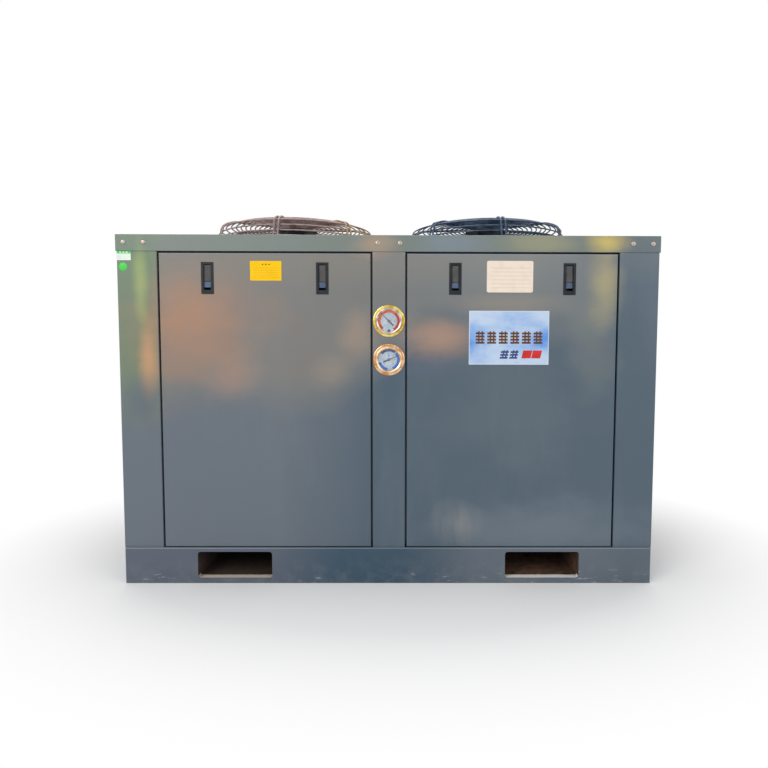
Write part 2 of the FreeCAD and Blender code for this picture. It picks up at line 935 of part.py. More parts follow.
def fan_motor(name, side):
    """The fixed half of the external-rotor motor, hung from the guard by its top plate."""
    top = plate_top - d.weld_gap
    under = top - d.motor_plate_thick
    shoulder = d.unit_height + d.rotor_top + d.motor_clearance
    foot = d.unit_height - d.rotor_bottom + d.motor_clearance
    bore = d.shaft_radius
    body = spun(name, [
        (0, top), (d.motor_plate, top), (d.motor_plate, under), (d.stator_neck, under),
        (d.stator_neck, under - d.motor_neck_height),
        (d.rotor_radius, under - d.motor_flare_height), (d.rotor_radius, shoulder),
        (d.stator_radius, shoulder), (d.stator_radius, stator_low),
        (bore, stator_low), (bore, foot), (0, foot),
    ])
    place(body, x=side * d.fan_offset)
    keep(body, name)


def blade_section(body, radius, chord, pitch, camber):
    """A thin curved plate across the blade, tilted by its pitch."""
    sketch = new_sketch(body, "YZ_Plane", radius)
    lean = math.radians(pitch.value)
    middle = d.unit_height - d.blade_drop

    def at(u, w):
        y = u * math.cos(lean) - w * math.sin(lean)
        z = u * math.sin(lean) + w * math.cos(lean) + middle
        return y, z

    half = chord / 2
    thick = d.blade_thick
    zero = size(0)
    lower = [at(-half, zero), at(zero, camber), at(half, zero)]
    upper = [at(half, thick), at(zero, camber + thick), at(-half, thick)]
    spots = [[V(x.value, y.value, 0) for x, y in arc] for arc in (lower, upper)]
    sketch.addGeometry(Part.Arc(*spots[0]), False)
    sketch.addGeometry(Part.LineSegment(spots[0][2], spots[1][0]), False)
    sketch.addGeometry(Part.Arc(*spots[1]), False)
    sketch.addGeometry(Part.LineSegment(spots[1][2], spots[0][0]), False)
    for line, ends in ((1, (lower[2], upper[0])), (3, (upper[2], lower[0]))):
        for point, (x, y) in enumerate(ends, 1):
            hold(sketch, "DistanceX", (line, point), x)
            hold(sketch, "DistanceY", (line, point), y)
    for arc in (0, 2):
        for line in (1, 3):
            meet(sketch, arc, line)
        hold(sketch, "Radius", (arc,), (half * half + camber * camber) / (2 * camber))
    return sketch


def meet(sketch, arc, line):
    """Joins the ends of an arc and a line that already lie together."""
    for a in (1, 2):
        for b in (1, 2):
            if sketch.getPoint(arc, a).distanceToPoint(sketch.getPoint(line, b)) < 1e-6:
                sketch.addConstraint(Sketcher.Constraint("Coincident", arc, a, line, b))


def fan_rotor(name, side):
    """The rotor can of the motor with five cambered, twisted blades welded round it."""
    roof = d.unit_height
    floor = roof - d.rotor_bottom
    top = roof + d.rotor_top
    bore = d.shaft_radius + d.running_play
    boss_top = stator_low - d.boss_clearance
    inside = d.rotor_radius - d.rotor_wall
    body = spun(name, [
        (bore, floor), (d.rotor_radius, floor), (d.rotor_radius, top), (inside, top),
        (inside, floor + d.rotor_wall), (d.rotor_boss, floor + d.rotor_wall),
        (d.rotor_boss, boss_top), (bore, boss_top),
    ])
    root = blade_section(
        body, d.rotor_radius - d.blade_root_inset, d.blade_root_chord, d.blade_root_pitch,
        d.blade_root_camber,
    )
    middle = blade_section(
        body, (d.rotor_radius + d.blade_tip) / 2, d.blade_middle_chord, d.blade_middle_pitch,
        d.blade_root_camber,
    )
    tip = blade_section(
        body, d.blade_tip + d.blade_overshoot, d.blade_tip_chord, d.blade_tip_pitch,
        d.blade_tip_camber,
    )
    blade = body.newObject("PartDesign::AdditiveLoft", "blade")
    blade.Profile = root
    blade.Sections = [middle, tip]
    doc.recompute()
    blades = body.newObject("PartDesign::PolarPattern", "blades")
    blades.Originals = [blade]
    blades.Axis = (origin_feature(body, "Z_Axis"), [""])
    blades.Angle = FULL_TURN
    blades.Occurrences = BLADES
    body.Tip = blades
    trim = new_sketch(body, "XZ_Plane")
    room = d.blade_tip_chord
    outline(trim, rectangle(d.blade_tip, roof - room, d.blade_tip + room, roof + room))
    turned(body, trim, "PartDesign::Groove")
    place(body, x=side * d.fan_offset)
    keep(body, name)


# Condenser coil

def grooved(body, faces, axis, length, count):
    """Upright grooves between the main fins, one cut and repeated along the coil."""
    sketch = new_sketch(body, "XY_Plane", d.base_height)
    for face in faces:
        outline(sketch, face)
    first = pocket(body, sketch, coil_top - d.base_height, reverse=True)
    pattern = body.newObject("PartDesign::LinearPattern", "grooves")
    pattern.Originals = [first]
    pattern.Direction = (sketch, [axis])
    bind(pattern, "Length", length)
    pattern.Occurrences = count
    body.Tip = pattern
    return pattern


def condenser_fins():
    """The fin block, bent in a U along the left side, the back and the right side."""
    x_out = coil_face_x
    x_in = coil_face_x - d.coil_thick
    y_out = coil_face_y
    y_in = coil_face_y - d.coil_thick
    front = d.end_plate - coil_front
    body = new_body("condenser_fins")
    sketch = new_sketch(body, "XY_Plane", d.base_height)
    outline(sketch, [
        (-x_out, front), (-x_in, front), (-x_in, y_in), (x_in, y_in),
        (x_in, front), (x_out, front), (x_out, y_out), (-x_out, y_out),
    ])
    block = pad(body, sketch, coil_top - d.base_height)
    outer = fillet(
        body, block, d.coil_corner,
        lambda e: along(e, UP) and (near(e, x=x_out, y=y_out) or near(e, x=-x_out, y=y_out)),
    )
    fillet(
        body, outer, d.coil_corner - d.coil_thick,
        lambda e: along(e, UP) and (near(e, x=x_in, y=y_in) or near(e, x=-x_in, y=y_in)),
    )
    corner_x = x_out - d.coil_corner
    pitch = corner_x * 2 / BACK_GROOVES
    half = (pitch - d.coil_rib) / 2
    faces = []
    for low, high in ((y_out - d.coil_groove, y_out), (y_in, y_in + d.coil_groove)):
        middle = pitch / 2 - corner_x
        faces.append(rectangle(middle - half, low, middle + half, high))
    grooved(body, faces, "H_Axis", corner_x * 2 - pitch, BACK_GROOVES)
    straight = y_out - d.coil_corner - front
    pitch = straight / SIDE_GROOVES
    half = (pitch - d.coil_rib) / 2
    middle = front + pitch / 2
    faces = []
    for low, high in ((x_out - d.coil_groove, x_out), (x_in, x_in + d.coil_groove)):
        for side in SIDES.values():
            across = rectangle(low, middle - half, high, middle + half)
            faces.append(mirrored(across, side))
    grooved(body, faces, "V_Axis", straight - pitch, SIDE_GROOVES)
    keep(body, "condenser_fins")


def coil_columns():
    """The three tube columns' distances from the middle plane."""
    step = d.coil_thick / 3
    return [coil_face_x - step * (i + 0.5) for i in range(3)]


def tube_rows():
    """Heights of the tube ends, as many as the coil has room for."""
    rows = []
    z = d.base_height + d.tube_start
    while (z + d.tube_pitch / 2).value < coil_top.value:
        rows.append(z)
        z = z + d.tube_pitch
    return rows


def condenser_end_plates():
    plates = []
    for name, side in SIDES.items():
        inner = coil_face_x - d.coil_thick
        x0 = inner if side > 0 else -coil_face_x
        plates.append(box(
            f"end_plate_{name}", x0, x0 + d.coil_thick, -coil_front, d.end_plate - coil_front,
            d.base_height, coil_top,
        ))
    group("condenser_end_plates", plates)


def return_bend(x, low):
    """A half-round bend of tube that joins one tube end to the next one above."""
    body = new_body("bend")
    sketch = new_sketch(body, "XZ_Plane")
    outline(sketch, polygon(d.tube_pitch / 2, 0, d.tube_radius, 8))
    bend = turned(body, sketch)
    bend.Angle = 180
    turn = FreeCAD.Rotation(V(0, 0, 1), V(0, -1, 0), V(1, 0, 0), "ZXY")
    return place(body, x, -coil_front, low + d.tube_pitch / 2, turn)


def condenser_return_bends():
    bends = []
    rows = tube_rows()
    columns = coil_columns()
    for x in columns:
        for low in rows[0:len(rows) - 1:2]:
            bends.append(return_bend(-x, low))
    for low in rows[1:len(rows) - 1:2]:
        bends.append(return_bend(columns[1], low))
    group("condenser_return_bends", bends)


def condenser_headers():
    """The gas header on the inner tube column and the liquid header on the outer one."""
    columns = coil_columns()
    rows = tube_rows()[1::4]
    reach = d.header_radius * 2.4
    headers = []
    for name, x, radius in (
        ("gas", columns[2], d.header_radius), ("liquid", columns[0], d.header_radius * 0.75)
    ):
        y = -coil_front - reach
        low = rows[0] - d.tube_pitch / 2
        pieces = [cylinder(f"{name}_header", radius, rows[-1] - low + d.tube_pitch / 2, x, y, low)]
        for i, z in enumerate(rows):
            pieces.append(cylinder(f"{name}_feeder_{i}", d.tube_radius, reach, x, y, z, TO_BACK))
        headers.append(joined(f"{name}_header_with_feeders", pieces))
    group("condenser_headers", headers)


# Machine compartment

mount_top = pan_top + d.mount_height
compressor_low = mount_top + d.foot_thick
compressor_top = compressor_low + d.compressor_height
receiver_axis = pan_top + d.receiver_lift + d.receiver_radius
receiver_top = receiver_axis + d.receiver_radius
accumulator_top = pan_top + d.accumulator_height


def domed(radius, length, dome):
    """The half section of a closed shell with shallow domed ends, from 0 to its length."""
    return [
        (0, 0), (radius * 0.36, 0), (radius * 0.72, dome * 0.26), (radius * 0.93, dome * 0.62),
        (radius, dome), (radius, length - dome), (radius * 0.93, length - dome * 0.62),
        (radius * 0.72, length - dome * 0.26), (radius * 0.36, length), (0, length),
    ]


def compressor():
    """The hermetic shell on its foot plate."""
    half = d.compressor_foot / 2
    x, y = d.compressor_x, d.compressor_y
    plate = box("foot_plate", x - half, x + half, y - half, y + half, mount_top, compressor_low)
    shell = spun("shell", domed(d.compressor_radius, d.compressor_height, d.compressor_radius * 0.35))
    place(shell, x, y, compressor_low)
    skirt = cylinder("skirt", d.compressor_radius * 0.85, d.compressor_radius * 0.3, x, y, mount_top)
    keep(joined("compressor", [plate, shell, skirt]), "compressor")


def compressor_mounts():
    """Waisted rubber feet under the corners of the foot plate."""
    mounts = []
    half = d.mount_pitch / 2
    wide, waist, height = d.mount_radius, d.mount_radius * 0.75, d.mount_height
    for sx, sy in ((-1, -1), (1, -1), (1, 1), (-1, 1)):
        mount = spun("mount", [
            (0, 0), (wide, 0), (wide, height * 0.25), (waist, height * 0.5),
            (wide, height * 0.75), (wide, height), (0, height),
        ])
        place(mount, d.compressor_x + sx * half, d.compressor_y + sy * half, pan_top)
        mounts.append(mount)
    group("compressor_mounts", mounts)


def terminal_box():
    """The box over the compressor's terminals, cut to the round of the shell."""
    x = d.compressor_x
    half = d.terminal_width / 2
    back = d.compressor_y - d.compressor_radius * 0.8
    front = d.compressor_y - d.compressor_radius - d.terminal_depth
    low = compressor_low + d.compressor_height * 0.5
    case = box("terminal_case", x - half, x + half, front, back, low, low + d.terminal_height)
    shell = cylinder(
        "shell_seat", d.compressor_radius + d.running_play, d.terminal_height + 2,
        x, d.compressor_y, low - 1,
    )
    cut = doc.addObject("Part::Cut", "terminal_cut")
    cut.Base = case
    cut.Tool = shell
    keep(cut, "compressor_terminal_box")


def liquid_receiver():
    """The lying receiver with its two welded cradles."""
    shell = spun("receiver_shell", domed(
        d.receiver_radius, d.receiver_length, d.receiver_radius * 0.45
    ))
    place(shell, d.receiver_x - d.receiver_length / 2, d.receiver_y, receiver_axis, TO_RIGHT)
    pieces = [shell]
    half = d.receiver_radius * 0.8
    for side in SIDES.values():
        x = d.receiver_x + side * d.saddle_pitch / 2
        pieces.append(box(
            "saddle", x - d.saddle_width / 2, x + d.saddle_width / 2,
            d.receiver_y - half, d.receiver_y + half, pan_top, receiver_axis - d.receiver_radius * 0.5,
        ))
    keep(joined("liquid_receiver", pieces), "liquid_receiver")


def suction_accumulator():
    """The upright suction accumulator on a short skirt."""
    radius, height = d.accumulator_radius, d.accumulator_height
    body = spun("suction_accumulator", [
        (0, 0), (radius * 0.7, 0), (radius * 0.7, radius * 0.2), (radius * 0.93, radius * 0.36),
        (radius, radius * 0.55), (radius, height - radius * 0.4),
        (radius * 0.93, height - radius * 0.16), (radius * 0.66, height), (0, height),
    ])
    place(body, d.accumulator_x, d.accumulator_y, pan_top)
    keep(body, "suction_accumulator")


def tube(name, points, radius, bend):
    """A refrigerant line of straight runs joined by tangent bends."""
    spots = [V(*[size(c).value for c in point]) for point in points]
    sweep = size(bend).value
    edges = []
    start = spots[0]
    for before, corner, after in zip(spots, spots[1:], spots[2:]):
        into = (corner - before).normalize()
        out = (after - corner).normalize()
        back = sweep * math.tan(into.getAngle(out) / 2)
        first = corner - into * back
        last = corner + out * back
        centre = first + (out - into * into.dot(out)).normalize() * sweep
        middle = centre + (corner - centre).normalize() * sweep
        edges.append(Part.LineSegment(start, first).toShape())
        edges.append(Part.Arc(first, middle, last).toShape())
        start = last
    edges.append(Part.LineSegment(start, spots[-1]).toShape())
    ahead = (spots[1] - spots[0]).normalize()
    side = ahead.cross(V(0.3, 0.5, 0.8)).normalize()
    lift = ahead.cross(side)
    ring = []
    for i in range(13):
        angle = 2 * math.pi * i / 12
        ring.append(spots[0] + (side * math.cos(angle) + lift * math.sin(angle)) * size(radius).value)
    item = doc.addObject("Part::Feature", name)
    item.Shape = Part.Wire(edges).makePipeShell([Part.makePolygon(ring)], True, False)
    return item


header_y = -coil_front - d.header_radius * 2.4
port_x = half_width - d.sheet - d.valve_gap
valve_x = port_x - d.valve_length
suction_z = d.suction_port_z
liquid_z = d.suction_port_z + d.port_pitch
line_z = liquid_z + d.line_lift


def discharge_line():
    """From the top of the compressor over the machines to the gas header."""
    x, y = d.compressor_x, d.compressor_y
    column = coil_columns()[2]
    shelf = compressor_top + d.line_rise
    aisle = coil_face_x - d.coil_thick - d.line_aisle
    keep(tube("discharge_line", [
        (x, y, compressor_top + d.weld_gap), (x, y, shelf), (aisle, y, shelf),
        (aisle, header_y, shelf), (column - d.header_radius - d.weld_gap, header_y, shelf),
    ], d.discharge_tube, d.tube_bend), "discharge_line")


def liquid_lines():
    """From the liquid header to the receiver, and on through the drier to the valve."""
    column = coil_columns()[0]
    low = header_low_end() - d.line_rise / 2
    aisle = coil_face_x - d.coil_thick - d.line_aisle
    y = d.receiver_y
    over = receiver_top + d.line_rise
    inlet_x = d.receiver_x + d.saddle_pitch / 2
    outlet_x = d.receiver_x - d.saddle_pitch / 2
    inlet = tube("receiver_inlet", [
        (column, header_y, header_low_end() - d.weld_gap), (column, header_y, low),
        (aisle, header_y, low), (aisle, y, low), (aisle, y, over), (inlet_x, y, over),
        (inlet_x, y, receiver_top + d.weld_gap),
    ], d.liquid_tube, d.capillary_bend * 2)
    drier_start = d.drier_x - d.weld_gap
    to_drier = tube("drier_inlet", [
        (outlet_x, y, receiver_top + d.weld_gap), (outlet_x, y, line_z),
        (outlet_x, d.drier_y, line_z), (drier_start, d.drier_y, line_z),
    ], d.liquid_tube, d.capillary_bend * 2)
    glass_start = d.drier_x + d.drier_length + d.glass_pipe - d.weld_gap
    to_glass = cylinder(
        "drier_outlet", d.liquid_tube, d.glass_pipe - d.weld_gap * 2,
        d.drier_x + d.drier_length + d.weld_gap, d.drier_y, line_z, TO_RIGHT,
    )
    drop_x = valve_x - d.line_rise
    to_valve = tube("valve_inlet", [
        (glass_start + d.glass_block + d.weld_gap * 2, d.drier_y, line_z),
        (drop_x, d.drier_y, line_z), (drop_x, -port_y, line_z), (drop_x, -port_y, liquid_z),
        (valve_x - d.weld_gap, -port_y, liquid_z),
    ], d.liquid_tube, d.capillary_bend * 2)
    group("liquid_lines", [inlet, to_drier, to_glass, to_valve])


def header_low_end():
    return tube_rows()[1] - d.tube_pitch / 2


def filter_drier():
    """The filter drier: a fat can with necked ends, lying along the line."""
    radius, length = d.drier_radius, d.drier_length
    neck = d.liquid_tube + 2
    body = spun("filter_drier", [
        (0, 0), (neck, 0), (neck, radius * 0.4), (radius * 0.7, radius * 0.55), (radius, radius),
        (radius, length - radius), (radius * 0.7, length - radius * 0.55),
        (neck, length - radius * 0.4), (neck, length), (0, length),
    ])
    keep(place(body, d.drier_x, d.drier_y, line_z, TO_RIGHT), "filter_drier")


def sight_glass():
    """A brass block with a round window on its front."""
    x = d.drier_x + d.drier_length + d.glass_pipe
    half = d.glass_block / 2
    block = box(
        "glass_block", x, x + d.glass_block, d.drier_y - half, d.drier_y + half,
        line_z - half, line_z + half,
    )
    rim = cylinder("glass_rim", half * 0.85, half, x + half, d.drier_y - half + 2, line_z, TO_FRONT)
    keep(joined("sight_glass", [block, rim]), "sight_glass")


def suction_lines():
    """From the suction valve to the accumulator, and on to the compressor's side."""
    y = -port_y
    x = d.accumulator_x + d.accumulator_radius * 0.33
    over = accumulator_top + d.line_rise
    to_accumulator = tube("suction_inlet", [
        (valve_x - d.weld_gap, y, suction_z), (x, y, suction_z), (x, y, over),
        (x, d.accumulator_y, over), (x, d.accumulator_y, accumulator_top + d.weld_gap),
    ], d.suction_tube, d.tube_bend)
    out_x = d.accumulator_x - d.accumulator_radius * 0.38
    side_y = d.compressor_y + d.compressor_radius + d.weld_gap
    to_compressor = tube("suction_outlet", [
        (out_x, d.accumulator_y, accumulator_top + d.weld_gap), (out_x, d.accumulator_y, over),
        (d.compressor_x, d.accumulator_y, over), (d.compressor_x, side_y, over),
    ], d.suction_tube, d.tube_bend)
    group("suction_lines", [to_accumulator, to_compressor])


def service_valves():
    """Barrel valves with a capped stem, each in line with its port in the right post."""
    valves = []
    for name, radius, z in (
        ("suction", d.suction_tube, suction_z), ("liquid", d.liquid_tube, liquid_z)
    ):
        barrel = radius + d.valve_wall
        y = -port_y
        pieces = [
            cylinder(f"{name}_barrel", barrel, d.valve_length * 0.7, valve_x, y, z, TO_RIGHT),
            cylinder(f"{name}_stub", radius, d.valve_length, valve_x, y, z, TO_RIGHT),
            cylinder(
                f"{name}_stem", radius * 0.8, barrel + d.valve_stem,
                valve_x + d.valve_length * 0.4, y, z, TO_FRONT,
            ),
        ]
        valves.append(joined(f"{name}_valve", pieces))
    group("service_valves", valves)


def port_grommets():
    """Grooved rubber rings in the right post's suction, liquid and cable ports."""
    grommets = []
    for hole, z in port_holes():
        bore = hole - d.grommet_wall
        neck = hole - d.grommet_play
        collar = hole + d.grommet_wall
        lip = d.grommet_lip
        inside = -d.sheet - d.running_play
        ring = spun("grommet", [
            (bore, lip), (collar, lip), (collar, 0), (neck, 0), (neck, inside), (collar, inside),
            (collar, inside - lip), (bore, inside - lip),
        ])
        grommets.append(place(ring, half_width, -port_y, z, TO_RIGHT))
    group("port_grommets", grommets)


# Control box

box_x = mullion_half + d.land_width + d.land_clearance
box_front = land_front - d.sheet - d.strap_thick


def control_box():
    """An open-fronted steel case hung on two straps behind the door's lands."""
    body = new_body("control_box")
    outer = new_sketch(body, "XZ_Plane", box_front - d.box_depth)
    outline(outer, rectangle(box_x, d.box_floor, box_x + d.box_width, d.box_floor + d.box_height))
    pad(body, outer, d.box_depth)
    inner = new_sketch(body, "XZ_Plane", box_front - d.box_depth + d.sheet)
    outline(inner, rectangle(
        box_x + d.sheet, d.box_floor + d.sheet,
        box_x + d.box_width - d.sheet, d.box_floor + d.box_height - d.sheet,
    ))
    pocket(body, inner, d.box_depth, reverse=True)
    for low in (d.box_floor, d.box_floor + d.box_height - d.strap_height):
        strap = new_sketch(body, "XZ_Plane", box_front)
        outline(strap, rectangle(
            mullion_half + d.sheet, low, post_inner - d.sheet, low + d.strap_height
        ))
        pad(body, strap, d.strap_thick)
    keep(body, "control_box")


def control_box_cover():
    body = prism("control_box_cover", "XZ_Plane", rectangle(
        box_x, d.box_floor + d.strap_height + d.land_clearance,
        box_x + d.box_width, d.box_floor + d.box_height - d.strap_height - d.land_clearance,
    ), box_front, d.sheet)
    keep(body, "control_box_cover")


# Gauges

def gauge_case(name, z):
    """The cup, panel flange and bezel of a gauge, with its socket behind and its arbor inside."""
    back = -d.gauge_depth
    wall = d.gauge_wall
    proud = d.gauge_bezel_proud
    seat = d.gauge_flange_thick + d.glass_seat
    top = seat + d.glass_thick + d.glass_play
    cavity = d.gauge_body - wall
    shelf = -d.dial_thick - d.dial_set_back
    glass_edge = d.gauge_bezel - d.bezel_lip
    opening = cavity + d.bezel_overlap
    chamfer = d.gauge_chamfer
    body = spun(name, [
        (0, back - d.gauge_socket_length), (d.gauge_socket, back - d.gauge_socket_length),
        (d.gauge_socket, back), (d.gauge_body, back), (d.gauge_body, 0), (d.gauge_flange, 0),
        (d.gauge_flange, d.gauge_flange_thick - chamfer),
        (d.gauge_flange - chamfer, d.gauge_flange_thick),
        (d.gauge_bezel + chamfer, d.gauge_flange_thick), (d.gauge_bezel, proud - chamfer),
        (d.gauge_bezel - chamfer, proud), (opening, proud), (opening, top),
        (glass_edge, top), (glass_edge, seat), (cavity, seat), (cavity, shelf),
        (cavity - wall, shelf), (cavity - wall, back + wall), (d.arbor_radius, back + wall),
        (d.arbor_radius, d.pointer_thick), (0, d.pointer_thick),
    ])
    keep(place(body, 0, -half_depth, z, TO_FRONT), name)


def gauge_dials():
    dials = []
    for z in (d.gauge_high_z, d.gauge_low_z):
        radius = d.gauge_body - d.gauge_wall - d.running_play
        face = -d.dial_set_back
        shelf = face - d.dial_thick
        bore = d.arbor_radius * 2
        dial = spun("dial", [(bore, shelf), (radius, shelf), (radius, face), (bore, face)])
        dials.append(place(dial, 0, -half_depth, z, TO_FRONT))
    group("gauge_dials", dials)


def gauge_glasses():
    glasses = []
    for z in (d.gauge_high_z, d.gauge_low_z):
        seat = half_depth + d.gauge_flange_thick + d.glass_seat
        radius = d.gauge_bezel - d.bezel_lip - d.running_play
        glasses.append(cylinder("glass", radius, d.glass_thick, 0, -seat, z, TO_FRONT))
    group("gauge_glasses", glasses)


def pointer(name, z, angle):
    """A thin pointer with a counterweight tail, on a hub that turns on the arbor."""
    low = -d.pointer_set_back
    wide, waist, tip = d.pointer_tail_half, d.pointer_waist_half, d.pointer_tip_half
    body = new_body(name)
    plate = new_sketch(body, "XY_Plane", low)
    outline(plate, [
        (-d.pointer_tail, -wide), (0, -waist), (d.pointer_tip, -tip), (d.pointer_tip, tip),
        (0, waist), (-d.pointer_tail, wide),
    ])
    pad(body, plate, d.pointer_thick)
    hub = new_sketch(body, "XY_Plane", low)
    circle(hub, 0, 0, d.pointer_hub)
    pad(body, hub, d.pointer_thick * 2)
    bore = new_sketch(body, "XY_Plane", low)
    circle(bore, 0, 0, d.arbor_radius + d.running_play)
    pocket(body, bore, d.pointer_thick * 3, reverse=True)
    turn = TO_FRONT.multiply(FreeCAD.Rotation(UP, angle.value))
    keep(place(body, 0, -half_depth, z, turn), name)


def gauge_capillaries():
    """Thin tubes from the gauges' sockets to the service valves."""
    socket_y = -half_depth + d.gauge_depth + d.gauge_socket_length + d.weld_gap
    x = valve_x + d.valve_length * 0.15
    y = -port_y
    capillaries = []
    for gauge_z, valve_z, radius, back in (
        (d.gauge_low_z, suction_z, d.suction_tube, d.capillary_back),
        (d.gauge_high_z, liquid_z, d.liquid_tube, d.capillary_back * 1.6),
    ):
        top = valve_z + radius + d.valve_wall + d.weld_gap
        over = top + d.capillary_back
        run_y = socket_y + back
        capillaries.append(tube("capillary", [
            (0, socket_y, gauge_z), (0, run_y, gauge_z), (0, run_y, over), (x, run_y, over),
            (x, y, over), (x, y, top),
        ], d.capillary_radius, d.capillary_bend))
    group("gauge_capillaries", capillaries)


# Doors

def door(name, side):
    """A folded pan with back flanges, two latch cut-outs and two locating pins below."""
    x0, x1 = (door_inner, door_outer) if side > 0 else (-door_outer, -door_inner)
    wall = d.door_sheet
    body = new_body(name)
    face = new_sketch(body, "XZ_Plane", door_back)
    outline(face, rectangle(x0, door_low, x1, door_high))
    block = pad(body, face, d.door_depth)
    fillet(body, block, d.bend_radius * 0.8, lambda e: near(e, y=-half_depth))
    back = new_sketch(body, "XZ_Plane", door_back)
    inset = d.door_flange
    outline(back, rectangle(x0 + inset, door_low + inset, x1 - inset, door_high - inset))
    pocket(body, back, d.door_depth - wall, reverse=True)
    hollow = new_sketch(body, "XZ_Plane", door_back + wall)
    outline(hollow, rectangle(x0 + wall, door_low + wall, x1 - wall, door_high - wall))
    pocket(body, hollow, d.door_depth - wall * 2, reverse=True)
    cuts = new_sketch(body, "XZ_Plane", half_depth)
    half_x = d.latch_body_width / 2 + d.running_play
    half_z = d.latch_body_height / 2 + d.running_play
    for x in latch_places(side):
        outline(cuts, rectangle(x - half_x, latch_middle - half_z, x + half_x, latch_middle + half_z))
    pocket(body, cuts, wall)
    pins = new_sketch(body, "XY_Plane", door_low - d.door_rise - d.pin_drop)
    for end in SIDES.values():
        x = side * door_middle + end * d.pin_spacing / 2
        circle(pins, x, d.pin_back - half_depth, d.pin_radius)
    pad(body, pins, d.door_rise + d.pin_drop + wall)
    keep(body, name)


def latch_places(side):
    return [side * door_middle + end * d.latch_offset for end in (-1, 1)]


def door_seal(name, side):
    """A flat foam frame on the door's back flange, just clear of the lands it closes on."""
    x0, x1 = (door_inner, door_outer) if side > 0 else (-door_outer, -door_inner)
    outer = (d.door_flange - d.seal_width) / 2
    inner = outer + d.seal_width
    thick = d.land_depth - d.door_depth - d.seal_clearance
    body = new_body(name)
    sketch = new_sketch(body, "XZ_Plane", door_back - thick)
    for inset in (outer, inner):
        outline(sketch, rectangle(x0 + inset, door_low + inset, x1 - inset, door_high - inset))
    pad(body, sketch, thick)
    keep(body, name)


# Flush latches

def latch_housing(x):
    """The moulded tray of a flush latch, with a post that ends the button's travel."""
    half_lip = d.latch_width / 2
    half_high = d.latch_height / 2
    half_body = d.latch_body_width / 2
    body_high = d.latch_body_height / 2
    well_half = d.lever_width / 2 + d.latch_play
    well_top = lever_top + lever_swing
    well_low = button_top - d.button_height - d.latch_play - d.finger_slot
    body = new_body("latch_housing")
    lip = new_sketch(body, "XZ_Plane", half_depth)
    outline(lip, rectangle(-half_lip, latch_middle - half_high, half_lip, latch_middle + half_high))
    plate = pad(body, lip, d.latch_lip)
    fillet(body, plate, d.latch_lip * 0.6, lambda e: near(e, y=-half_depth - d.latch_lip))
    tray = new_sketch(body, "XZ_Plane", half_depth - d.latch_body_depth)
    outline(tray, rectangle(
        -half_body, latch_middle - body_high, half_body, latch_middle + body_high
    ))
    pad(body, tray, d.latch_body_depth)
    well = new_sketch(body, "XZ_Plane", half_depth + d.latch_lip)
    outline(well, rectangle(-well_half, well_low, well_half, well_top))
    pocket(body, well, d.latch_lip + d.latch_body_depth - d.latch_wall)
    slot = new_sketch(body, "XZ_Plane", half_depth - d.lever_recess - d.lever_thick * 2)
    slot_half = d.tongue_width / 2 + d.latch_play * 2
    slot_low = lever_pivot_z - d.tongue_reach
    outline(slot, rectangle(-slot_half, slot_low, slot_half, latch_middle + half_high))
    pocket(body, slot, d.latch_body_depth)
    holes = new_sketch(body, "YZ_Plane", well_half + d.trunnion_length + d.latch_play)
    circle(holes, -lever_pivot_y, lever_pivot_z, d.trunnion_radius + d.running_play)
    pocket(body, holes, (well_half + d.trunnion_length + d.latch_play) * 2)
    floor = half_depth - d.latch_body_depth + d.latch_wall
    post = new_sketch(body, "XZ_Plane", floor)
    circle(post, 0, button_top - d.button_height / 2, d.spring_post)
    pad(body, post, lever_face - d.button_thick - d.button_travel - floor)
    return place(body, x=x)


def latch_lever(name, x):
    """The paddle with its trunnions and the arm that carries the tongue behind the door frame."""
    half = d.lever_width / 2
    front = lever_face
    body = new_body(name)
    face = new_sketch(body, "XZ_Plane", front - d.lever_thick)
    outline(face, rectangle(-half, lever_top - d.lever_length, half, lever_top))
    paddle = pad(body, face, d.lever_thick)
    fillet(body, paddle, d.latch_lip * 0.5, lambda e: near(e, y=-front))
    arm_half = d.tongue_width / 2
    tongue_y = d.tongue_reach - front
    rise = header_low - d.tongue_gap
    arm = new_sketch(body, "YZ_Plane", -arm_half)
    outline(arm, [
        (d.lever_thick * 0.5 - front, lever_pivot_z - d.tongue_thick),
        (tongue_y + d.tongue_thick, lever_pivot_z - d.tongue_thick),
        (tongue_y + d.tongue_thick, rise), (tongue_y, rise),
        (tongue_y, lever_pivot_z + d.tongue_thick),
        (d.lever_thick * 0.5 - front, lever_pivot_z + d.tongue_thick),
    ])
    pad(body, arm, d.tongue_width)
    pins = new_sketch(body, "YZ_Plane", -half - d.trunnion_length)
    circle(pins, -lever_pivot_y, lever_pivot_z, d.trunnion_radius)
    pad(body, pins, d.lever_width + d.trunnion_length * 2)
    keep(place(body, x=x), name)


def latch_button(name, x):
    """The push button under the paddle, which slides straight in."""
    half = d.button_side / 2
    body = new_body(name)
    face = new_sketch(body, "XZ_Plane", lever_face - d.button_thick)
    outline(face, rectangle(-half, button_top - d.button_height, half, button_top))
    block = pad(body, face, d.button_thick)
    fillet(body, block, d.latch_lip * 0.5, lambda e: near(e, y=-lever_face))
    keep(place(body, x=x), name)


def latches(label, side):
    housings = [latch_housing(x) for x in latch_places(side)]
    group(f"latch_housings_{label}", housings)
    for number, x in enumerate(latch_places(side), 1):
        latch_lever(f"latch_lever_{label}_{number}", x)
        latch_button(f"latch_button_{label}_{number}", x)


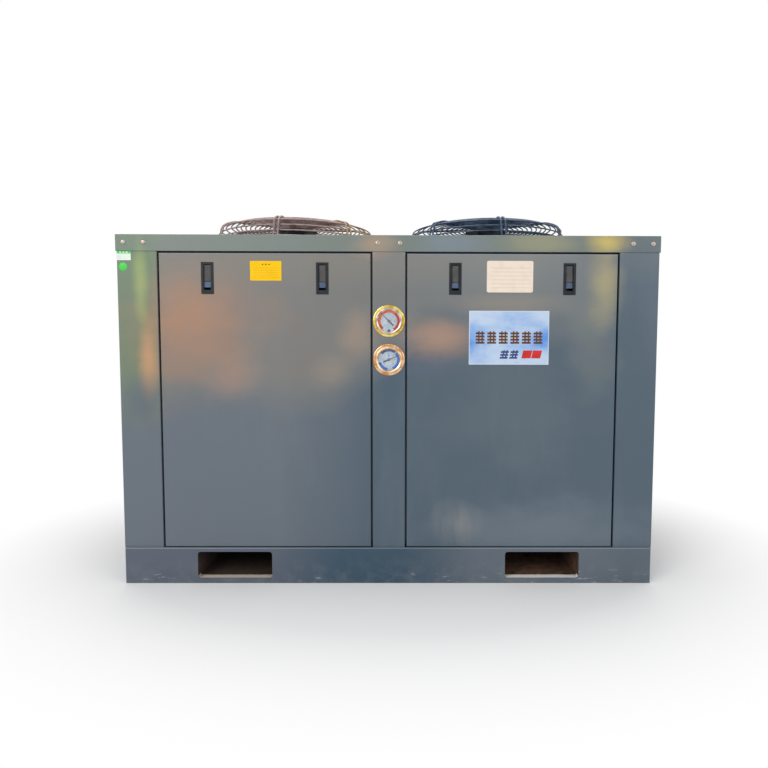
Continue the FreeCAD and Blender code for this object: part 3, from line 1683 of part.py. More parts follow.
def build():
    base_front_rail()
    keep(base_rail("base_rear_rail", HALF_TURN), "base_rear_rail")
    base_side_rails()
    base_cross_members()
    floor_pan()
    door_frame_angles()
    centre_mullion()
    roof_panel()
    roof_screws()
    fan_guards()
    condenser_fins()
    condenser_end_plates()
    condenser_return_bends()
    condenser_headers()
    compressor()
    compressor_mounts()
    terminal_box()
    liquid_receiver()
    suction_accumulator()
    filter_drier()
    sight_glass()
    discharge_line()
    liquid_lines()
    suction_lines()
    service_valves()
    gauge_capillaries()
    port_grommets()
    control_box()
    control_box_cover()
    gauge_case("gauge_case_high", d.gauge_high_z)
    gauge_case("gauge_case_low", d.gauge_low_z)
    gauge_dials()
    gauge_glasses()
    pointer("pointer_high", d.gauge_high_z, d.pointer_high_angle)
    pointer("pointer_low", d.gauge_low_z, d.pointer_low_angle)
    for label, side in SIDES.items():
        front_post(f"corner_post_front_{label}", side)
        rear_post(f"corner_post_rear_{label}", side)
        fan_ring(f"fan_ring_{label}", side)
        fan_motor(f"fan_motor_{label}", side)
        fan_rotor(f"fan_rotor_{label}", side)
        door(f"door_{label}", side)
        door_seal(f"door_seal_{label}", side)
        latches(label, side)


def check():
    """Stops on any failed object or any sub-part that is not a sound solid."""
    for item in doc.Objects:
        if "Invalid" in item.State or "Error" in item.State:
            raise ValueError(f"{item.Name} ({item.Label}) failed: {item.State}")
    for item in PARTS:
        shape = item.Shape
        if shape.isNull() or not shape.isValid() or not shape.Solids:
            raise ValueError(f"{item.Label} has no sound shape")


def write():
    os.makedirs("parts", exist_ok=True)
    for item in PARTS:
        item.Shape.exportStep(f"parts/{item.Label}.step")
    print(f"{len(PARTS)} sub-parts written")


build()
doc.recompute()
check()
write()
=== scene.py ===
# %% [markdown]
# # A box-type condensing unit, dressed for a photograph
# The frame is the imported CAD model: a painted steel cabinet with two lift-off doors, two gauges and
# two wire-guarded fans on its roof. Blender adds what a CAD solid doesn't show: paint and zinc,
# round guard wires, thin coil fins, printed dials, labels and screws. Nothing of the frame moves.

# %% Load the frame
import math

import bmesh
import bpy
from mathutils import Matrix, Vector


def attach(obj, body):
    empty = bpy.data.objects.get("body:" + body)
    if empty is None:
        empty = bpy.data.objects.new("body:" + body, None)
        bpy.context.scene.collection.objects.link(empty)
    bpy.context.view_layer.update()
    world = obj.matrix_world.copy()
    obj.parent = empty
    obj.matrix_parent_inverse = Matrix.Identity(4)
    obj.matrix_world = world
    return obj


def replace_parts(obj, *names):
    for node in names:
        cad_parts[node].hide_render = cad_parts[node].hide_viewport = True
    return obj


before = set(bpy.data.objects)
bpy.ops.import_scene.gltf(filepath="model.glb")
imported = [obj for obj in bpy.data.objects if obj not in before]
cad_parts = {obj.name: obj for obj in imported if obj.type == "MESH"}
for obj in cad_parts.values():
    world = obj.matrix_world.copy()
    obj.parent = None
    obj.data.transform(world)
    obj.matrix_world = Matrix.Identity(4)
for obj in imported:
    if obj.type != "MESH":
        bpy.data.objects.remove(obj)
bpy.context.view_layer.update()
MM = 0.001

# %% [markdown]
# The camera stands in front of the unit, 0.68 m above the ground, and looks down by less than four
# degrees. The lens and the distance come from how much smaller the base looks than the roof. It
# stands a little to the right of the middle, looks a third of a degree to the right and leans a
# little, which the fans and the slopes of the roof's and the doors' edges show.

# %% Camera
PICTURE_WIDTH = 768
FOCAL_PIXELS = 600
MIDDLE_PIXEL = 388.9
CAMERA_X = 0.040
CAMERA_AWAY = 1.671
CAMERA_HEIGHT = 0.678
LOOK_DOWN = math.radians(3.79)
LOOK_RIGHT = math.radians(0.37)
LEAN = math.radians(-0.14)
FRONT_Y = -0.3775
lens = bpy.data.cameras.new("camera")
lens.sensor_width = 36
lens.lens = FOCAL_PIXELS / PICTURE_WIDTH * lens.sensor_width
aside = FOCAL_PIXELS * (CAMERA_X / CAMERA_AWAY + LOOK_RIGHT)
lens.shift_x = 0.5 - (MIDDLE_PIXEL + aside) / PICTURE_WIDTH
camera = bpy.data.objects.new("camera", lens)
camera.location = (CAMERA_X, FRONT_Y - CAMERA_AWAY, CAMERA_HEIGHT)
camera.rotation_euler = (math.pi / 2 - LOOK_DOWN, LEAN, -LOOK_RIGHT)
bpy.context.scene.collection.objects.link(camera)
bpy.context.scene.camera = camera
bpy.context.scene.view_settings.view_transform = "Standard"
print("lens", round(lens.lens, 2), "mm, shift", round(lens.shift_x, 4))

# %% [markdown]
# A material is a net of nodes. It could be linked node by node, but it is much easier to read as
# plain sums. So one small class wraps a socket: sums on it add Math nodes, and one method makes any
# other node.


# %% Sockets that can be reckoned with
class Wire:
    """One output of a node, which can be added, multiplied or fed to another node."""

    def __init__(self, socket):
        self.socket = socket

    def node(self, kind, settings, values, out=0):
        """Adds a node, sets it up, then feeds its sockets with values or wires."""
        made = self.socket.id_data.nodes.new(kind)
        for name, value in settings.items():
            setattr(made, name, value)
        for name, value in values.items():
            feed(made.inputs[name], value)
        return Wire(made.outputs[out])

    def maths(self, operation, *terms):
        return self.node("ShaderNodeMath", {"operation": operation}, dict(enumerate(terms)))

    def __add__(self, other):
        return self.maths("ADD", self, other)

    def __sub__(self, other):
        return self.maths("SUBTRACT", self, other)

    def __rsub__(self, other):
        return self.maths("SUBTRACT", other, self)

    def __mul__(self, other):
        return self.maths("MULTIPLY", self, other)

    def __abs__(self):
        return self.maths("ABSOLUTE", self)

    def away(self, other):
        """How far a point at these two coordinates lies from zero."""
        square = self * self + other * other
        return square.maths("SQRT", square)

    __radd__ = __add__
    __rmul__ = __mul__


def feed(socket, value):
    """Links a wire to a socket, or sets the socket to a plain value."""
    if isinstance(value, Wire):
        socket.id_data.links.new(value.socket, socket)
    elif isinstance(value, (tuple, list)) and len(value) == 3 and socket.type == "RGBA":
        socket.default_value = (*value, 1)
    else:
        socket.default_value = value


# %% [markdown]
# Every pattern here is noise read from the piece's own Object coordinates, in metres, so a scale of
# 400 gives grains of about 2.5 mm. The next helpers name the patterns that the finishes share. All
# colours are written as read off a screen.


# %% Patterns
def noise(place, scale, detail=3, roughness=0.5, stretch=None):
    if stretch:
        place = place.node("ShaderNodeMapping", {}, {"Vector": place, "Scale": stretch})
    values = {"Vector": place, "Scale": scale, "Detail": detail, "Roughness": roughness}
    return place.node("ShaderNodeTexNoise", {}, values)


def mask(value, low, high):
    """0 below low, 1 above high, and a straight ramp between."""
    return value.node(
        "ShaderNodeMapRange", {"clamp": True}, {"Value": value, "From Min": low, "From Max": high}
    )


def linear(colour):
    """A colour as read off a screen, 0 to 255, on the even scale that shaders use."""
    shades = [c / 255 for c in colour]
    return tuple(c / 12.92 if c < 0.04045 else ((c + 0.055) / 1.055) ** 2.4 for c in shades)


def mix(share, first, second):
    """A colour between two others, each a wire or read off a screen."""
    first, second = (c if isinstance(c, Wire) else linear(c) for c in (first, second))
    values = {0: share, 6: first, 7: second}
    return share.node("ShaderNodeMix", {"data_type": "RGBA"}, values, out=2)


def bump(height, strength, distance):
    return height.node(
        "ShaderNodeBump", {}, {"Height": height, "Strength": strength, "Distance": distance}
    )


def axes(place):
    """The three coordinates of a place, each as a wire."""
    split = place.node("ShaderNodeSeparateXYZ", {}, {"Vector": place}).socket.node
    return [Wire(output) for output in split.outputs]


def look(shade, rough, normal=None):
    """What most recipes give: a colour, a roughness and perhaps a bump."""
    wires = {"Base_Color": shade, "Roughness": rough}
    return wires | {"Normal": normal} if normal else wires


def finish(name, recipe, **fixed):
    """A material: fixed values go to the shader's sockets, the recipe's wires after them."""
    material = bpy.data.materials.new(name)
    material.use_nodes = True
    shader = material.node_tree.nodes["Principled BSDF"]
    place = Wire(material.node_tree.nodes.new("ShaderNodeTexCoord").outputs["Object"])
    for socket, value in (fixed | recipe(place)).items():
        feed(shader.inputs[socket.replace("_", " ")], value)
    return material


# %% [markdown]
# The cabinet's paint is a dark blue-grey powder coat. Powder flows out into a fine orange peel, so
# the bump is small and close. A warm film lies on the upper half and thins out below the gauges,
# where the blue shows: it is dust, and with it a painted reflection of the warm surroundings. It is
# half as strong on the roof, the sides and the back. The right side is the darker blue, and a green
# painted reflection lies on the left post. Soft spots with noisy edges paint reflections onto the
# front as uneven tones: each is an ellipse, because a few of those are easier to place than noise.
# A pale painted reflection lies low on the right door, and a painted highlight on the bend along
# the top of each door.


# %% Cabinet paint
DOOR_TOP = 0.9275
DOOR_NEAR = 0.0400
DOOR_FAR = 0.6335
SKIRT_LOW = 0.9310
# Each tint is a painted reflection in a soft spot: across, height, half width, half height, strength
# and colour.
REFLECTION_TINTS = [
    (-0.540, 0.722, 0.230, 0.150, 0.58, (176, 124, 86)),
    (-0.430, 0.585, 0.095, 0.080, 0.22, (180, 142, 120)),
    (-0.088, 0.715, 0.065, 0.085, 0.40, (176, 148, 122)),
    (-0.155, 0.605, 0.065, 0.060, 0.25, (168, 146, 126)),
    (-0.668, 0.640, 0.030, 0.115, 0.60, (204, 148, 104)),
    (-0.684, 0.850, 0.024, 0.150, 0.75, (146, 160, 98)),
    (0.145, 0.694, 0.115, 0.065, 0.60, (188, 146, 116)),
    (0.130, 0.618, 0.090, 0.045, 0.40, (84, 92, 112)),
    (0.600, 0.850, 0.055, 0.125, 0.66, (172, 160, 114)),
    (-0.690, 0.520, 0.060, 0.080, 0.50, (70, 84, 104)),
    (0.604, 0.957, 0.070, 0.045, 0.80, (210, 186, 92)),
    (0.350, 0.520, 0.290, 0.260, 0.36, (98, 108, 112)),
    (0.560, 0.700, 0.090, 0.170, 0.30, (128, 130, 118)),
    (0.330, 0.790, 0.200, 0.040, 0.30, (160, 142, 118)),
    (-0.030, 0.955, 0.080, 0.040, 0.50, (184, 150, 122)),
    (0.160, 0.955, 0.120, 0.040, 0.40, (120, 136, 160)),
    (0.440, 0.955, 0.130, 0.040, 0.36, (176, 168, 116)),
    (0.420, 0.150, 0.360, 0.110, 0.60, (108, 118, 128)),
]


def soft_spot(across, height, drift, spot):
    """1 at the middle of a spot and 0 at its edge, which noise makes uneven."""
    x, z, wide, high = spot
    reach = ((across - x) * (1 / wide)).away((height - z) * (1 / high))
    share = mask(reach + drift, 1.25, 0.0)
    return share * share * (3 - share * 2)


def dust_film(place):
    """1 where the warm film of dust and painted reflection is full, above the gauges, and 0 near the
    ground.
    """
    across, depth, height = axes(place)
    drift = noise(place, 2.4, 4, 0.55)
    lower_left = mask(across, 0.10, -0.15) * 0.19
    thin_right = mask(across, 0.38, 0.55) * 0.30
    thin_low = mask(height, 0.90, 0.82) * 0.25
    filmless_post = mask(across, 0.60, 0.64) * mask(height, 1.05, 0.84)
    film = mask(height + drift * 0.26 + lower_left, 0.77, 0.91)
    return film * (1 - thin_right) * (1 - thin_low) * (1 - filmless_post)


def door_bend(across, depth, height):
    """1 on the front bend along the top of each door, where a highlight is painted."""
    aside = abs(across)
    doors = mask(aside, DOOR_FAR + 0.5 * MM, DOOR_FAR - 0.5 * MM)
    doors = doors * mask(aside, DOOR_NEAR - 0.5 * MM, DOOR_NEAR + 0.5 * MM)
    top = mask(height, DOOR_TOP - 2.9 * MM, DOOR_TOP - 1.9 * MM)
    top = top * mask(height, DOOR_TOP, DOOR_TOP - 0.4 * MM)
    return doors * top * mask(depth, FRONT_Y + 1.8 * MM, FRONT_Y + 1.1 * MM)


def powder_coat(place):
    across, depth, height = axes(place)
    cloud = noise(place, 2.2, 4, 0.55)
    peel = noise(place, 900, 2, 0.5)
    streak = noise(place, 9, 4, 0.6, stretch=(1.0, 1.0, 0.25))
    shade = mix(mask(across + cloud * 0.3, -0.15, 0.12), (92, 101, 111), (64, 83, 98))
    shade = mix(mask(cloud, 0.35, 0.75) * 0.25, shade, (92, 104, 112))
    front = mask(depth, FRONT_Y + 0.9 * MM, FRONT_Y + 0.5 * MM)
    # The warm film is dust with a painted reflection, half as strong off the front.
    film = dust_film(place) * (front * 0.5 + 0.5)
    warm = mix(mask(across, -0.30, 0.30), (121, 115, 105), (124, 126, 124))
    warm = mix(mask(height, SKIRT_LOW, SKIRT_LOW + 1.5 * MM), warm, (112, 121, 114))
    shade = mix(film * 0.9, shade, warm)
    on_skirt = mask(height, SKIRT_LOW - 1 * MM, SKIRT_LOW + 3 * MM)
    # A green painted reflection on the left post, weaker on the skirt.
    green = mask(across, -0.62, -0.66) * (0.82 - on_skirt * 0.4)
    shade = mix(film * front * green, shade, (90, 120, 86))
    drift = noise(place, 5.5, 5, 0.55, stretch=(0.8, 1.0, 1.4)) * 1.5 - 0.75
    # Each soft spot paints a reflection of the surroundings onto the front.
    for *spot, strength, colour in REFLECTION_TINTS:
        shade = mix(soft_spot(across, height, drift, spot) * front * strength, shade, colour)
    # A pale ring-shaped patch low on the right door: a painted reflection.
    pale_patch = mask((across - 0.19).away(height - 0.17) + cloud * 0.08, 0.13, 0.06)
    shade = mix(pale_patch * front * mask(streak, 0.35, 0.6) * 0.6, shade, (142, 140, 134))
    shade = mix(mask(streak, 0.5, 0.8) * 0.2, shade, (112, 122, 132))
    # A pale painted highlight on the bend along the top of each door.
    shade = mix(door_bend(across, depth, height) * 0.6, shade, (150, 160, 186))
    rough = 0.28 + noise(place, 14, 3, 0.6) * 0.16 + film * 0.08
    return look(shade, rough, bump(peel, 0.10, 0.0006))


RAIL_TOP = 0.1012
RAIL_FRONT = -0.3805


def scuffed_coat(place):
    """The base rails: bluer in the middle, scuffed and chipped low down, with a painted highlight
    along the top.
    """
    coat = powder_coat(place)
    across, depth, height = axes(place)
    cloud = noise(place, 2.6, 3, 0.5)
    middle = mask(across + cloud * 0.1, -0.28, -0.10) * mask(across + cloud * 0.1, 0.30, 0.10)
    foot = 1 - mask(height, 0.004, 0.05)
    scratch = noise(place, 60, 5, 0.65, stretch=(0.35, 1, 1.6))
    scuff = mask(scratch, 0.60, 0.66) * foot * mask(noise(place, 3, 2), 0.45, 0.6)
    chip = mask(noise(place, 160, 2, 0.5), 0.70, 0.72) * (1 - mask(height, 0.0, 0.03))
    dust = mask(noise(place, 24, 4, 0.7), 0.45, 0.75) * (1 - mask(height, 0.0, 0.09))
    # A pale line along the top front edge of the rail: a painted highlight.
    top_highlight = mask(height, RAIL_TOP - 1.7 * MM, RAIL_TOP)
    top_highlight = top_highlight * mask(depth, RAIL_FRONT + 2 * MM, RAIL_FRONT)
    shade = mix(mask(across, -0.1, 0.3), (80, 89, 103), (88, 99, 110))
    shade = mix(mask(across, 0.58, 0.68), shade, (80, 92, 103))
    shade = mix(middle, shade, (46, 71, 89))
    shade = mix(dust * 0.25, shade, (150, 148, 142))
    shade = mix(top_highlight * 0.4, shade, (150, 156, 164))
    shade = mix(scuff, shade, (196, 198, 198))
    shade = mix(chip, shade, (58, 44, 36))
    return look(shade, coat["Roughness"] + dust * 0.2 + scuff * 0.2, coat["Normal"])


cabinet_paint = finish("cabinet_paint", powder_coat, IOR=1.5)
base_paint = finish("base_paint", scuffed_coat, IOR=1.5)

# %% [markdown]
# Zinc-coated sheet shows spangle: flat crystals a few millimetres wide that catch the light each in
# its own way. A Voronoi pattern gives the crystals, and each gets its own shade and roughness.


# %% Metals
def spangle(place):
    values = {"Vector": place, "Scale": 120}
    crystal = place.node("ShaderNodeTexVoronoi", {}, values, out=1)
    level = axes(crystal)[0]
    shade = mix(level, (150, 154, 158), (196, 199, 201))
    return look(shade, 0.28 + level * 0.22)


TUNNEL_FLOOR = 0.0200
TUNNEL_MOUTH = 0.3635


def tunnel_grime(place):
    """Zinc under brown dirt, painted darker towards the tunnel's roof as shade, and pale at each
    mouth: sand that the forks drag in, with painted light.
    """
    across, depth, height = axes(place)
    lump = noise(place, 42, 5, 0.65)
    right = mask(across, -0.1, 0.1)
    shade = mix(mask(lump, 0.35, 0.7), (44, 32, 27), (66, 49, 38))
    shade = mix(right * mask(lump, 0.3, 0.6) * 0.8, shade, (112, 78, 52))
    mouth = mask(abs(depth) + lump * 0.008, TUNNEL_MOUTH - 2 * MM, TUNNEL_MOUTH)
    low = mask(height, TUNNEL_FLOOR + 0.8 * MM, TUNNEL_FLOOR)
    # Darker towards the tunnel's roof: painted shade.
    shade = mix(mask(height, 0.055, 0.078) * 0.4, shade, (16, 13, 12))
    # The pale mouth is sand with painted light, near white on the right.
    sand_and_light = mix(right, (212, 198, 182), (246, 244, 240))
    shade = mix(mouth * low, shade, sand_and_light)
    return look(shade, 0.8 + lump * 0.15, bump(lump, 0.5, 0.002))


def wire_coat(place):
    """Guard wire in black paint with painted reflections: mauve with dust on the left, warm orange
    near the middle, navy on the right.
    """
    across, depth, height = axes(place)
    grime = mask(noise(place, 45, 4, 0.6), 0.40, 0.70)
    # The three tones are painted reflections, and the left one has dust as well.
    dust_and_reflection = mix(grime, (140, 120, 124), (178, 152, 136))
    warm_reflection = mix(grime, (166, 136, 104), (204, 170, 128))
    blue_reflection = mix(grime, (36, 58, 84), (72, 96, 122))
    shade = mix(mask(across, -0.20, -0.08), dust_and_reflection, warm_reflection)
    shade = mix(mask(across, -0.05, 0.05), shade, blue_reflection)
    peel = bump(noise(place, 1400, 2), 0.12, 0.0003)
    return look(shade, 0.22 + grime * 0.25, peel)


def fan_coat(place):
    film = mask(noise(place, 18, 4, 0.6), 0.4, 0.75)
    shade = mix(film, (26, 28, 32), (58, 60, 62))
    peel = bump(noise(place, 1100, 2), 0.15, 0.0004)
    return look(shade, 0.36 + film * 0.25, peel)


def cast_coat(place):
    grain = noise(place, 700, 3, 0.6)
    shade = mix(mask(noise(place, 30, 3), 0.4, 0.7), (76, 84, 94), (100, 106, 112))
    return look(shade, 0.5 + grain * 0.2, bump(grain, 0.3, 0.0006))


def thin_fin(place):
    level = noise(place, 90, 3, 0.6, stretch=(1, 1, 0.2))
    shade = mix(mask(level, 0.3, 0.7), (196, 200, 204), (212, 215, 218))
    return look(shade, 0.34 + level * 0.12)


def copper_tube(place):
    tarnish = mask(noise(place, 22, 4, 0.65), 0.42, 0.72)
    shade = mix(tarnish, (214, 132, 96), (140, 82, 60))
    return look(shade, 0.22 + tarnish * 0.25)


def brass_turned(place):
    level = noise(place, 40, 3, 0.6)
    shade = mix(mask(level, 0.4, 0.7), (214, 176, 96), (176, 136, 70))
    return look(shade, 0.24 + level * 0.2)


def bright_zinc(place):
    level = noise(place, 260, 3, 0.6)
    shade = mix(level, (142, 132, 122), (196, 184, 172))
    return look(shade, 0.34 + level * 0.2)


zinc_sheet = finish("zinc_sheet", spangle, Metallic=1.0)
grimy_shaded_sheet = finish("grimy_shaded_sheet", tunnel_grime)
guard_black = finish("guard_black", wire_coat, IOR=1.5)
fan_black = finish("fan_black", fan_coat, IOR=1.5)
motor_grey = finish("motor_grey", cast_coat, IOR=1.5)
fin_aluminium = finish("fin_aluminium", thin_fin, Metallic=1.0)
copper = finish("copper", copper_tube, Metallic=1.0)
brass = finish("brass", brass_turned, Metallic=1.0)
screw_zinc = finish("screw_zinc", bright_zinc, Metallic=1.0)

# %% [markdown]
# The two gauges have plated flanges, one the yellow of gold and one the pink of copper, and paler
# rings round their windows. Plate is a clean metal, and fine noise in its roughness is enough for
# faint polishing marks. Plastics and rubber have a moulded grain, which is a close, weak bump.


# %% Plated rims, plastics and rubber
def plated(name, light, deep):
    def recipe(place):
        marks = noise(place, 320, 3, 0.6)
        return look(mix(mask(noise(place, 60, 3), 0.4, 0.6), light, deep), 0.16 + marks * 0.18)

    return finish(name, recipe, Metallic=1.0)


def moulded(name, light, dark, level, ior=1.5):
    def recipe(place):
        grain = noise(place, 2200, 2, 0.5)
        shade = mix(mask(noise(place, 70, 3), 0.4, 0.7), dark, light)
        return look(shade, level + grain * 0.12, bump(grain, 0.2, 0.0003))

    return finish(name, recipe, IOR=ior)


def glossy(name, light, dark):
    def recipe(place):
        film = mask(noise(place, 16, 4, 0.6), 0.45, 0.75)
        shade = mix(film, dark, light)
        peel = bump(noise(place, 800, 2), 0.08, 0.0005)
        return look(shade, 0.24 + film * 0.25, peel)

    return finish(name, recipe, IOR=1.5)


gold_plate = plated("gold_plate", (236, 210, 120), (206, 158, 52))
copper_plate = plated("copper_plate", (232, 186, 146), (204, 134, 84))
silver_plate = plated("silver_plate", (204, 196, 184), (150, 142, 132))
cream_plate = plated("cream_plate", (230, 214, 184), (200, 168, 122))
latch_black = moulded("latch_black", (34, 40, 46), (22, 28, 34), 0.42, 1.32)


RIDGE_STEP = 2.4 * MM


def ridged(place):
    """A moulded face with fine upright ridges."""
    across, depth, height = axes(place)
    turn = across * (2 * math.pi / RIDGE_STEP)
    wave = turn.maths("SINE", turn)
    grime = noise(place, 70, 3)
    shade = mix(mask(grime + wave * 0.12, 0.35, 0.65), (46, 46, 44), (64, 63, 59))
    return look(shade, 0.36 + grime * 0.12, bump(wave, 0.35, 0.0004))


lever_grey = finish("lever_grey", ridged, IOR=1.5)
button_blue = moulded("button_blue", (78, 98, 130), (60, 78, 106), 0.3)
rubber_black = moulded("rubber_black", (34, 34, 35), (18, 18, 19), 0.6)
shell_black = glossy("shell_black", (46, 48, 52), (20, 21, 24))
vessel_black = glossy("vessel_black", (58, 62, 68), (34, 37, 42))
box_grey = glossy("box_grey", (206, 208, 206), (190, 192, 190))
pointer_black = moulded("pointer_black", (26, 26, 28), (14, 14, 16), 0.4)
dial_white = moulded("dial_white", (186, 198, 210), (164, 178, 192), 0.4)

# %% [markdown]
# A gauge's window is thin clear glass. A glass shader would darken the dial, so a low alpha lets
# the dial's colours through, and the shader keeps a weak shine of its own with a few faint smears.


# %% Glass
def smeared_glass(place):
    pale_patch = mask(noise(place, 90, 4, 0.6), 0.4, 0.8)
    return {"Roughness": 0.03 + pale_patch * 0.05, "Alpha": 0.03 + pale_patch * 0.03}


glass = finish("gauge_glass", smeared_glass, Base_Color=(0.95, 0.98, 1.0), IOR=1.5)

# %% [markdown]
# Each CAD node now gets its finish. A table keeps it plain which piece is made of what.


# %% Finishes of the CAD nodes
def sides(*names):
    """The left and the right node of each name."""
    return [f"{name}_{side}" for name in names for side in ("left", "right")]


def latches(name):
    """The same part of all four latches."""
    return [f"{node}_{i}" for node in sides(name) for i in (1, 2)]


NODE_FINISHES = {
    cabinet_paint: [
        "centre_mullion", "roof_panel", "door_frame_angles",
        *sides("corner_post_front", "corner_post_rear", "door"),
    ],
    base_paint: ["base_front_rail", "base_rear_rail", "base_side_rails"],
    grimy_shaded_sheet: ["base_cross_members"],
    zinc_sheet: ["floor_pan", "condenser_end_plates", *sides("fan_ring")],
    guard_black: sides("fan_guard"),
    fan_black: sides("fan_rotor"),
    motor_grey: sides("fan_motor"),
    fin_aluminium: ["condenser_fins"],
    copper: [
        "condenser_return_bends", "condenser_headers", "discharge_line", "liquid_lines",
        "suction_lines", "gauge_capillaries",
    ],
    shell_black: ["compressor"],
    rubber_black: ["compressor_mounts", "port_grommets", *sides("door_seal")],
    latch_black: ["compressor_terminal_box", *sides("latch_housings")],
    lever_grey: latches("latch_lever"),
    button_blue: latches("latch_button"),
    vessel_black: ["liquid_receiver", "suction_accumulator", "filter_drier"],
    brass: ["sight_glass", "service_valves"],
    gold_plate: ["gauge_case_high"],
    copper_plate: ["gauge_case_low"],
    dial_white: ["gauge_dials"],
    glass: ["gauge_glasses"],
    pointer_black: ["pointer_high", "pointer_low"],
    screw_zinc: ["roof_screws"],
    box_grey: ["control_box", "control_box_cover"],
}
for material, names in NODE_FINISHES.items():
    for name in names:
        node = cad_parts[name]
        node.data.materials.clear()
        node.data.materials.append(material)
print(sum(len(names) for names in NODE_FINISHES.values()), "nodes have a finish")

# %% [markdown]
# New pieces are modelled as by hand: a primitive is added, shaped in edit mode, and finished with
# modifiers. These helpers hold the steps that come back each time, such as spinning a section round
# the upright axis, which is how anything turned or rolled is made here.


# %% Modelling helpers
def clear():
    bpy.ops.object.select_all(action="DESELECT")


def only(piece):
    """Selects one object and makes it the active one."""
    clear()
    piece.select_set(True)
    bpy.context.view_layer.objects.active = piece
    return piece


def named(name):
    """Names the object that was just made, and its mesh."""
    piece = bpy.context.object
    piece.name = piece.data.name = name
    return piece


def started(name, primitive, **settings):
    """Adds a primitive by itself."""
    clear()
    primitive(**settings)
    return named(name)


def edit(piece):
    only(piece)
    bpy.ops.object.mode_set(mode="EDIT")
    return bmesh.from_edit_mesh(piece.data)


def leave():
    bpy.ops.object.mode_set(mode="OBJECT")


def every():
    """In edit mode, selects all of a piece."""
    bpy.ops.mesh.select_all(action="SELECT")


def smooth(piece, angle):
    only(piece)
    bpy.ops.object.shade_smooth_by_angle(angle=math.radians(angle))
    return piece


def settled(piece):
    """Puts a piece's place into its mesh, so that its object sits at the origin."""
    only(piece)
    bpy.ops.object.transform_apply(location=True, rotation=True, scale=True)
    return piece


def applied(piece, kind, **settings):
    """Adds a modifier, sets it up and applies it."""
    only(piece)
    modifier = piece.modifiers.new(kind, kind)
    for name, value in settings.items():
        setattr(modifier, name, value)
    bpy.ops.object.modifier_apply(modifier=modifier.name)
    return piece


def copied(piece, name, shift=(0, 0, 0), turn=(0, 0, 0)):
    """A copy with its own mesh, turned and then moved."""
    only(piece)
    bpy.ops.object.duplicate()
    copy = named(name)
    copy.rotation_euler = turn
    copy.location = shift
    return settled(copy)


def merged(pieces, name):
    """Joins pieces into one object."""
    only(pieces[0])
    for piece in pieces:
        piece.select_set(True)
    bpy.ops.object.join()
    return named(name)


def dressed(piece, material, body):
    """Gives a finished piece its material and the CAD body that carries it."""
    piece.data.materials.clear()
    piece.data.materials.append(material)
    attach(piece, body)
    return piece


def turned(name, sections, steps, sweep=360.0):
    """Spins closed sections, each a list of radius and height, about the upright axis."""
    piece = started(name, bpy.ops.mesh.primitive_circle_add, vertices=len(sections[0]))
    mesh = edit(piece)
    for i, section in enumerate(sections):
        if i > 0:
            bpy.ops.mesh.primitive_circle_add(vertices=len(section))
        mesh.verts.ensure_lookup_table()
        for vert, (radius, height) in zip(mesh.verts[-len(section):], section):
            vert.co = (radius, 0, height)
        bmesh.update_edit_mesh(piece.data)
    every()
    bpy.ops.mesh.spin(
        steps=steps, angle=math.radians(sweep), center=(0, 0, 0), axis=(0, 0, -1),
        use_auto_merge=True,
    )
    every()
    bpy.ops.mesh.remove_doubles(threshold=1e-6)
    bpy.ops.mesh.normals_make_consistent(inside=False)
    leave()
    return piece


# %% [markdown]
# A fan guard is a basket of steel wire: rings of light wire, with pairs of heavier wire bent over
# them and welded at each crossing. The CAD wires are six-sided, so round ones take their place. The
# rings are spun from small round sections, and the bent wires are curves with a round bevel.

# %% Guard rings
ROOF_Z = 0.977
FAN_X = 0.317
RING_WIRE = 2.25 * MM
RIB_WIRE = 2.75 * MM
RING_SIDES = 8
SLOPE = [(0.062, 0.0803), (0.212, 0.0803), (0.2455, 0.0690), (0.265, 0.00375)]
RINGS_PER_RUN = (10, 2, 4)


def ring_places():
    """Radius and height of each ring, from the core to the foot."""
    places = [SLOPE[0]]
    for start, end, count in zip(SLOPE, SLOPE[1:], RINGS_PER_RUN):
        for i in range(1, count + 1):
            share = i / count
            places.append([a + (b - a) * share for a, b in zip(start, end)])
    return places


def round_section(radius, height, wire, sides):
    turns = [2 * math.pi * i / sides for i in range(sides)]
    return [(radius + wire * math.cos(t), ROOF_Z + height + wire * math.sin(t)) for t in turns]


rings = turned(
    "guard_rings",
    [round_section(r, h, RING_WIRE, RING_SIDES) for r, h in ring_places()],
    steps=96,
)
smooth(rings, 60)
print("guard rings:", len(rings.data.polygons), "faces")

# %% [markdown]
# A bent wire runs from the roof up the side, over the shoulder and in to the middle plate. Its line
# is a Bezier curve whose corners have short handles, which gives the tight but round bends of a
# press. The second guard is a copy of the first, turned so that the two mirror each other.


# %% Guard ribs
def bent_wire(name, points, radius, bend):
    """A round wire through corner points, each corner rounded by the given length."""
    curve = bpy.data.curves.new(name, "CURVE")
    curve.dimensions = "3D"
    curve.bevel_depth = radius
    curve.bevel_resolution = 3
    curve.use_fill_caps = True
    spline = curve.splines.new("BEZIER")
    spots = []
    for i, point in enumerate(points):
        here = Vector(point)
        if 0 < i < len(points) - 1:
            back = (Vector(points[i - 1]) - here).normalized() * bend
            ahead = (Vector(points[i + 1]) - here).normalized() * bend
            spots += [(here + back, here + back * 0.45), (here + ahead, here + ahead * 0.45)]
        else:
            spots.append((here, here))
    spline.bezier_points.add(len(spots) - 1)
    for i, (knot, (spot, handle)) in enumerate(zip(spline.bezier_points, spots)):
        knot.co = spot
        knot.handle_left_type = knot.handle_right_type = "FREE"
        knot.handle_left = handle if i % 2 == 0 and i > 0 else spot
        knot.handle_right = handle if i % 2 == 1 and i < len(spots) - 1 else spot
    curve.resolution_u = 8
    wire = bpy.data.objects.new(name, curve)
    bpy.context.scene.collection.objects.link(wire)
    only(wire)
    bpy.ops.object.convert(target="MESH")
    return bpy.context.object


